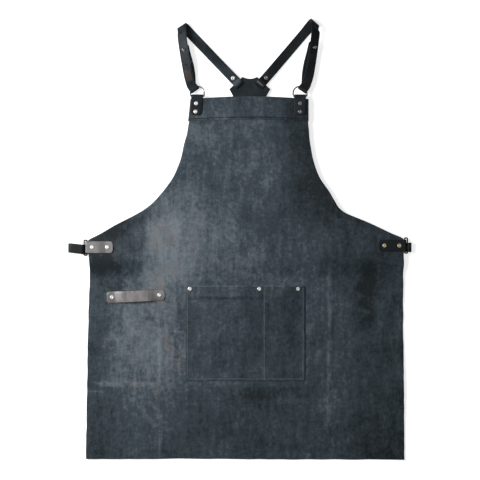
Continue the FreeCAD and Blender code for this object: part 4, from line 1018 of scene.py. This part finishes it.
def shoulder_stations(side):
    """The whole strap: from its free end round the ring, up the front, over the top and down to the yoke."""
    sign, leg = SIDES[side], front_leg(side)
    place = ring_place(side)
    at, angle = ring_wrap(side)
    along = unit(angle)
    rot = place.to_3x3()
    stations = []
    for (point, face, edge), (sink, shift) in list(zip(leg[1:], TAIL_SHAPE[side]))[::-1]:
        stations.append((point - edge * (sign * shift) - UP * ((PLY + sink) / face.z), -face, edge))
    for x in (6.0, 2.0):
        stations.append((place @ (at + along * x - UP * 3.3), rot @ -UP))
    for turn in range(-90, -271, -30):
        way = swung(along, turn)
        stations.append((place @ (at + along * -4.4 + way * 3.3), rot @ way))
    for x in (2.0, 6.0):
        stations.append((place @ (at + along * x + UP * 3.3), rot @ UP))
    stations += leg[1:]
    forward, backward = unit(90 - sign * 7.5), -unit(heading(side, True))
    axis, outward = unit(-sign * FOLD_LEAN[side]), unit(90 - sign * FOLD_LEAN[side])
    slide_in = forward.dot(axis) / forward.dot(outward)
    slide_out = -backward.dot(axis) / backward.dot(outward)

    def slid(angle):
        return FOLD_RAD * (slide_in * angle + (slide_out - slide_in) * angle**2 / (2 * math.pi))

    edge = axis * (2 / (forward.cross(axis).length + backward.cross(axis).length))
    start = vec(*FOLD[side]) - outward * (FOLD_RAD + 1.2) - axis * slid(math.pi / 2)
    for i in range(9):
        a = math.pi * i / 8
        leave = start + axis * slid(a) + outward * (FOLD_RAD * math.sin(a))
        leave.z = STRAP_LIFT + FOLD_RAD * (1 + math.cos(a))
        stations.append((leave.copy(), outward * math.sin(a) + UP * math.cos(a), edge))
    near_yoke = flex_points(side)[1]
    run = vec(near_yoke.x - leave.x, near_yoke.y - leave.y)
    edge = vec(run.y, -run.x).normalized() * math.copysign(1, vec(run.y, -run.x).dot(edge))
    for share, z in ((0.18, 1.3), (0.42, 1.5), (0.68, 1.9), (0.88, 3.6), (1.0, 4.8)):
        stations.append((vec(leave.x, leave.y, z) + run * share, -UP, edge))
    return stations + yoke_loop_stations(side, True)


def stud_place(side):
    """Where the stud stands on the front leg, and the way it points."""
    (low, low_face, _), (high, high_face, _) = front_leg(side)[3:5]
    return low + (high - low) * 0.46, (low_face + high_face).normalized()


# The free holes in the front legs, in plan.
HOLES = {
    "left": [(-136.0, 693.5), (-126.0, 629.0), (-115.2, 591.5)],
    "right": [(120.2, 590.0), (137.0, 700.0)],
}


def nearest(path, x, y):
    """The uppermost strap surface near a plan point: point and face direction."""
    near = [(p, n) for p, n, _ in path if n.z > 0.5]
    return min(near, key=lambda s: (s[0].x - x) ** 2 + (s[0].y - y) ** 2)


# Profiles of radius and height above the strap's middle.
STUD = [(0, 7.9), (1.2, 7.7), (2.2, 7.1), (2.9, 6.1), (3.1, 5.1), (2.9, 4.1), (2.3, 3.3), (1.8, 2.8),
        (1.9, 2.3), (3.3, 1.95), (3.4, 1.4), (1.7, 1.35), (1.7, -3.0), (0, -3.0)]
SCREW = [(0, -3.9), (2.0, -3.9), (2.2, -4.1), (3.9, -4.1), (4.0, -4.7), (0, -4.75)]

for side, sign in SIDES.items():
    stations = shoulder_stations(side)
    strap = strap_mesh(f"shoulder_strap_{side}_leather", side, stations, 1.8, (7, 4), 0.3)
    spots = []
    for x, y in HOLES[side]:
        point, way = nearest(smooth_path(stations, 1.0), x, y)
        spots.append((vec(x, y, point.z + STRAP_THICK / 2), way.normalized(), 1.9))
    pierce(strap, spots, 1.7)
    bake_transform(strap)
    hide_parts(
        f"shoulder_strap_{side}", f"shoulder_strap_{side}_tail", f"shoulder_strap_{side}_ring_loop",
        f"shoulder_strap_{side}_yoke_loop",
    )
    stud = turned_set(f"stud_{side}", STUD, [stud_place(side)], STEEL)
    settle(stud, f"{side}_strap", f"strap_stud_{side}", slot="steel")
    screw = turned_set(f"stud_screw_{side}", SCREW, [stud_place(side)], NICKEL)
    settle(screw, f"{side}_strap", f"strap_stud_{side}_screw", slot="steel")


def waist_stations(side):
    """From the yoke's lower slot out to the side ring, round its bar and back beneath the tab."""
    sign = SIDES[side]
    bar = vec(*SIDE_BAR[side]) - vec(0, RING_SLIDE[side] + STRAP_SLIDE)
    stations = yoke_loop_stations(side, False)[::-1]
    end = slot_centre(side, False) + unit(heading(side, False)) * LOOP_LONG
    end.y -= 1.2
    bend, radius = math.radians(52), 150.0
    straight = (end.y - bar.y - radius * (1 - math.cos(bend))) / math.sin(bend)
    way = vec(sign * math.cos(bend), -math.sin(bend))
    stations.append((end + UP * 4.3, -UP))
    for share in (0.12, 0.35, 0.7, 1.0):
        stations.append((end + way * straight * share + UP * 1.3, -UP))
    low = end + way * straight
    centre = vec(low.x + sign * radius * math.sin(bend), bar.y + radius)
    for a in (bend * 0.66, bend * 0.33, 0):
        stations.append((centre + vec(-sign * math.sin(a), -math.cos(a)) * radius + UP * 1.3, -UP))
    out, turn, way = LOOP_OUT[side], 4.55, vec(sign, 0)
    tilt = 3.2 if side == "left" else 0.0
    long_loop = out > 25
    if long_loop:
        stations.append((bar + way * 16 + vec(0, tilt * 0.35, 1.3), -UP))
    for a in range(-90, 91, 30):
        d = swung(way, a)
        stations.append((bar + way * (out - turn - 1.2) + vec(0, tilt, STRAP_LIFT + turn) + d * turn, d))
    if long_loop:
        stations.append((bar + way * 17 + vec(0, tilt * 0.45, 10.5), UP))
    inner = ((8.2, 10.1), (5.9, 8.1), (4.12, 6.39), (0, 4.1), (-8, 3.95), (-30, 3.9), (-57, 3.9))
    return stations + [(bar + way * x + UP * z, UP) for x, z in inner]


for side, sign in SIDES.items():
    strap = strap_mesh(f"waist_strap_{side}_leather", "right", waist_stations(side), 2.2, (4, 6))
    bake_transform(strap)
    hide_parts(f"waist_strap_{side}", f"waist_strap_{side}_yoke_loop")

# ---- rings, rivets and the small metal


def rounded(x, y, radius, *angles):
    return [vec(x, y) + unit(angle) * radius for angle in angles]


def d_ring_line(side):
    """The bar, a rounded corner, a straight leg, the bow and back down the other side."""
    soft, leg = 2.4, 4.5
    points = [vec(x, 0) for x in np.linspace(-RING_RAD + soft, RING_RAD - soft, 8)]
    points += rounded(RING_RAD - soft, soft, soft, -60, -30, 0) + [vec(RING_RAD, leg)]
    points += rounded(0, RING_LEG, RING_RAD, *range(0, 181, 9)) + [vec(-RING_RAD, leg)]
    points += rounded(-RING_RAD + soft, soft, soft, 180, 210, 240)
    return [ring_place(side) @ p for p in points]


def side_ring_line(side):
    """A rounded rectangle, tilted down from the bar in its tab."""
    bar = vec(*SIDE_BAR[side], SIDE_BAR_Z) - vec(0, RING_SLIDE[side])
    outward = swung(vec(SIDES[side], 0), -SIDE_RING_TILT)
    soft = 2.2
    far, end = SIDE_RING_WIDE - soft, SIDE_RING_HALF - soft
    points = []
    for x, y, first in ((far, end, 0), (soft, end, 90), (soft, -end, 180), (far, -end, 270)):
        points += rounded(x, y, soft, *range(first, first + 91, 30))
    return [bar + outward * p.x + vec(0, p.y) for p in points]


for side in SIDES:
    d_ring = wire_mesh(f"d_ring_{side}_wire", d_ring_line(side), 1.6, STEEL)
    settle(d_ring, "harness", f"d_ring_{side}", slot="steel")
    ring = wire_mesh(f"side_ring_{side}_wire", side_ring_line(side), 1.5, BLACK)
    settle(ring, f"{side}_side_ring", f"side_ring_{side}", slot="black_ring")

CAP = [(0, 1.2), (0.6, 1.22), (0.8, 1.35), (1.05, 1.45), (2.6, 1.46), (3.4, 1.42), (3.75, 1.3), (4.05, 0.95),
       (4.25, 0.5), (4.5, 0.28), (4.5, 0), (0, 0)]
METALS = [NICKEL, BRASS, SHADED_NICKEL]


def tab_rivets(side, shift, level=15.0):
    """The two rivets of a ring tab, down its slanted middle line."""
    down = unit(-90 - RING_TAB_SLANT[side])
    return [vec(RING_X[side] - shift, RING_BAR_Y, level) + down * run for run in (14.9, 31.8)]


def side_rivets(side, *runs):
    return [vec(*SIDE_BAR[side], 13.2) - vec(SIDES[side] * run, 0) for run in runs]


def yoke_rivets(side, level=6.0):
    spots = [slot_centre(side, up) + unit(heading(side, up)) * RIVET_OUT for up in (True, False)]
    return [spot + UP * level for spot in spots]


# The left-hand rivets are nickel. On the right, the ring tab and yoke rivets take the painted-shade copy of
# the nickel, and the side tab rivets are brass.
for name, body, pick, spots in (
    ("ring_tab_rivet", "apron", (0, 0, 2, 2), tab_rivets("left", 0.8) + tab_rivets("right", 0.0)),
    ("side_tab_rivet", "apron", (0, 0, 1, 1),
     side_rivets("left", 10.8, 41.8) + side_rivets("right", 10.9, 41.4)),
    ("pocket_rivet", "apron", (0,), [vec(x, 170.4, 3.7) for x in (-119.1, 23.0, 102.5)]),
    ("towel_loop_rivet", "apron", (0,),
     [vec(*TOWEL_LOOP, 4.1) + unit(TOWEL_TURN) * (sign * TOWEL_RIVET_OUT) for sign in SIDES.values()]),
    ("yoke_rivet", "harness", (0, 0, 2, 2), yoke_rivets("left") + yoke_rivets("right")),
):
    heads = turned_set(name + "_heads", CAP, [(spot, UP) for spot in spots], METALS, pick)
    settle(heads, body, name + "_caps", slot="rivet")

for name in ("ring_tab_rivet_posts", "side_tab_rivet_posts", "pocket_rivet_posts", "towel_loop_rivet_posts",
             "yoke_rivet_posts", "waist_strap_left_screw", "waist_strap_right_screw"):
    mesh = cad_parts[name].data
    mesh.materials.clear()
    mesh.materials.append(BRASS if name.endswith("posts") else NICKEL)

# ---- patch on the left strap


def strap_patch():
    """A plain worn patch on the left strap's front leg, following its surface."""
    low, high, front = 596, 619, 8  # its ends in y, and a level that only the front leg is above
    path = [(p, n) for p, n, _ in smooth_path(shoulder_stations("left"), 1.0)
            if n.z > 0.9 and low < p.y < high and p.x < RING_X["left"] and p.z > front]
    path.sort(key=lambda s: s[0].y)
    stations = [(p + n.normalized() * (STRAP_THICK / 2 + 0.02), n) for p, n in path]
    made = strip_mesh("strap_patch", stations, 6.6, 0.5, PATCH, ends=(1.2, 1.2), corner=0.2)
    settle(made, "left_strap")


strap_patch()

# ---- floor, light and camera


def area_light(name, where, target, size, power):
    lamp = bpy.data.lights.new(name, "AREA")
    lamp.shape, lamp.size, lamp.energy = "SQUARE", size, power
    made = bpy.data.objects.new(name, lamp)
    made.location = where
    made.rotation_euler = (Vector(target) - Vector(where)).to_track_quat("-Z", "Y").to_euler()
    bpy.context.scene.collection.objects.link(made)


FLOOR_HALF = 40000
corners = [(x * FLOOR_HALF, y * FLOOR_HALF, -0.4) for x, y in ((-1, -1), (1, -1), (1, 1), (-1, 1))]
pale_floor = start_material("pale_floor", 0.9, 0.0, (0.9, 0.9, 0.9), shine=0.0)[0]
floor = add_mesh("floor", corners, [(0, 1, 2, 3)], pale_floor)
floor_shader = pale_floor.node_tree.nodes["Principled BSDF"]
floor_shader.inputs["Emission Color"].default_value = (1, 1, 1, 1)
floor_shader.inputs["Emission Strength"].default_value = 0.66

area_light("window", (-1.25, 0.60, 1.15), (-0.05, 0.2, 0), 0.8, 30)
area_light("overhead", (0.0, 0.25, 2.9), (0, 0.25, 0), 1.9, 9)

world = bpy.data.worlds.new("studio")
world.use_nodes = True
world.node_tree.nodes["Background"].inputs["Color"].default_value = (1, 1, 1, 1)
world.node_tree.nodes["Background"].inputs["Strength"].default_value = 0.10
bpy.context.scene.world = world
bpy.context.scene.view_settings.view_transform = "Standard"

camera = bpy.data.objects.new("camera", bpy.data.cameras.new("camera"))
camera.data.lens, camera.data.sensor_width = 100, 36
camera.location = (-0.0164, 0.2706, 2.738)
bpy.context.scene.collection.objects.link(camera)
bpy.context.scene.camera = camera
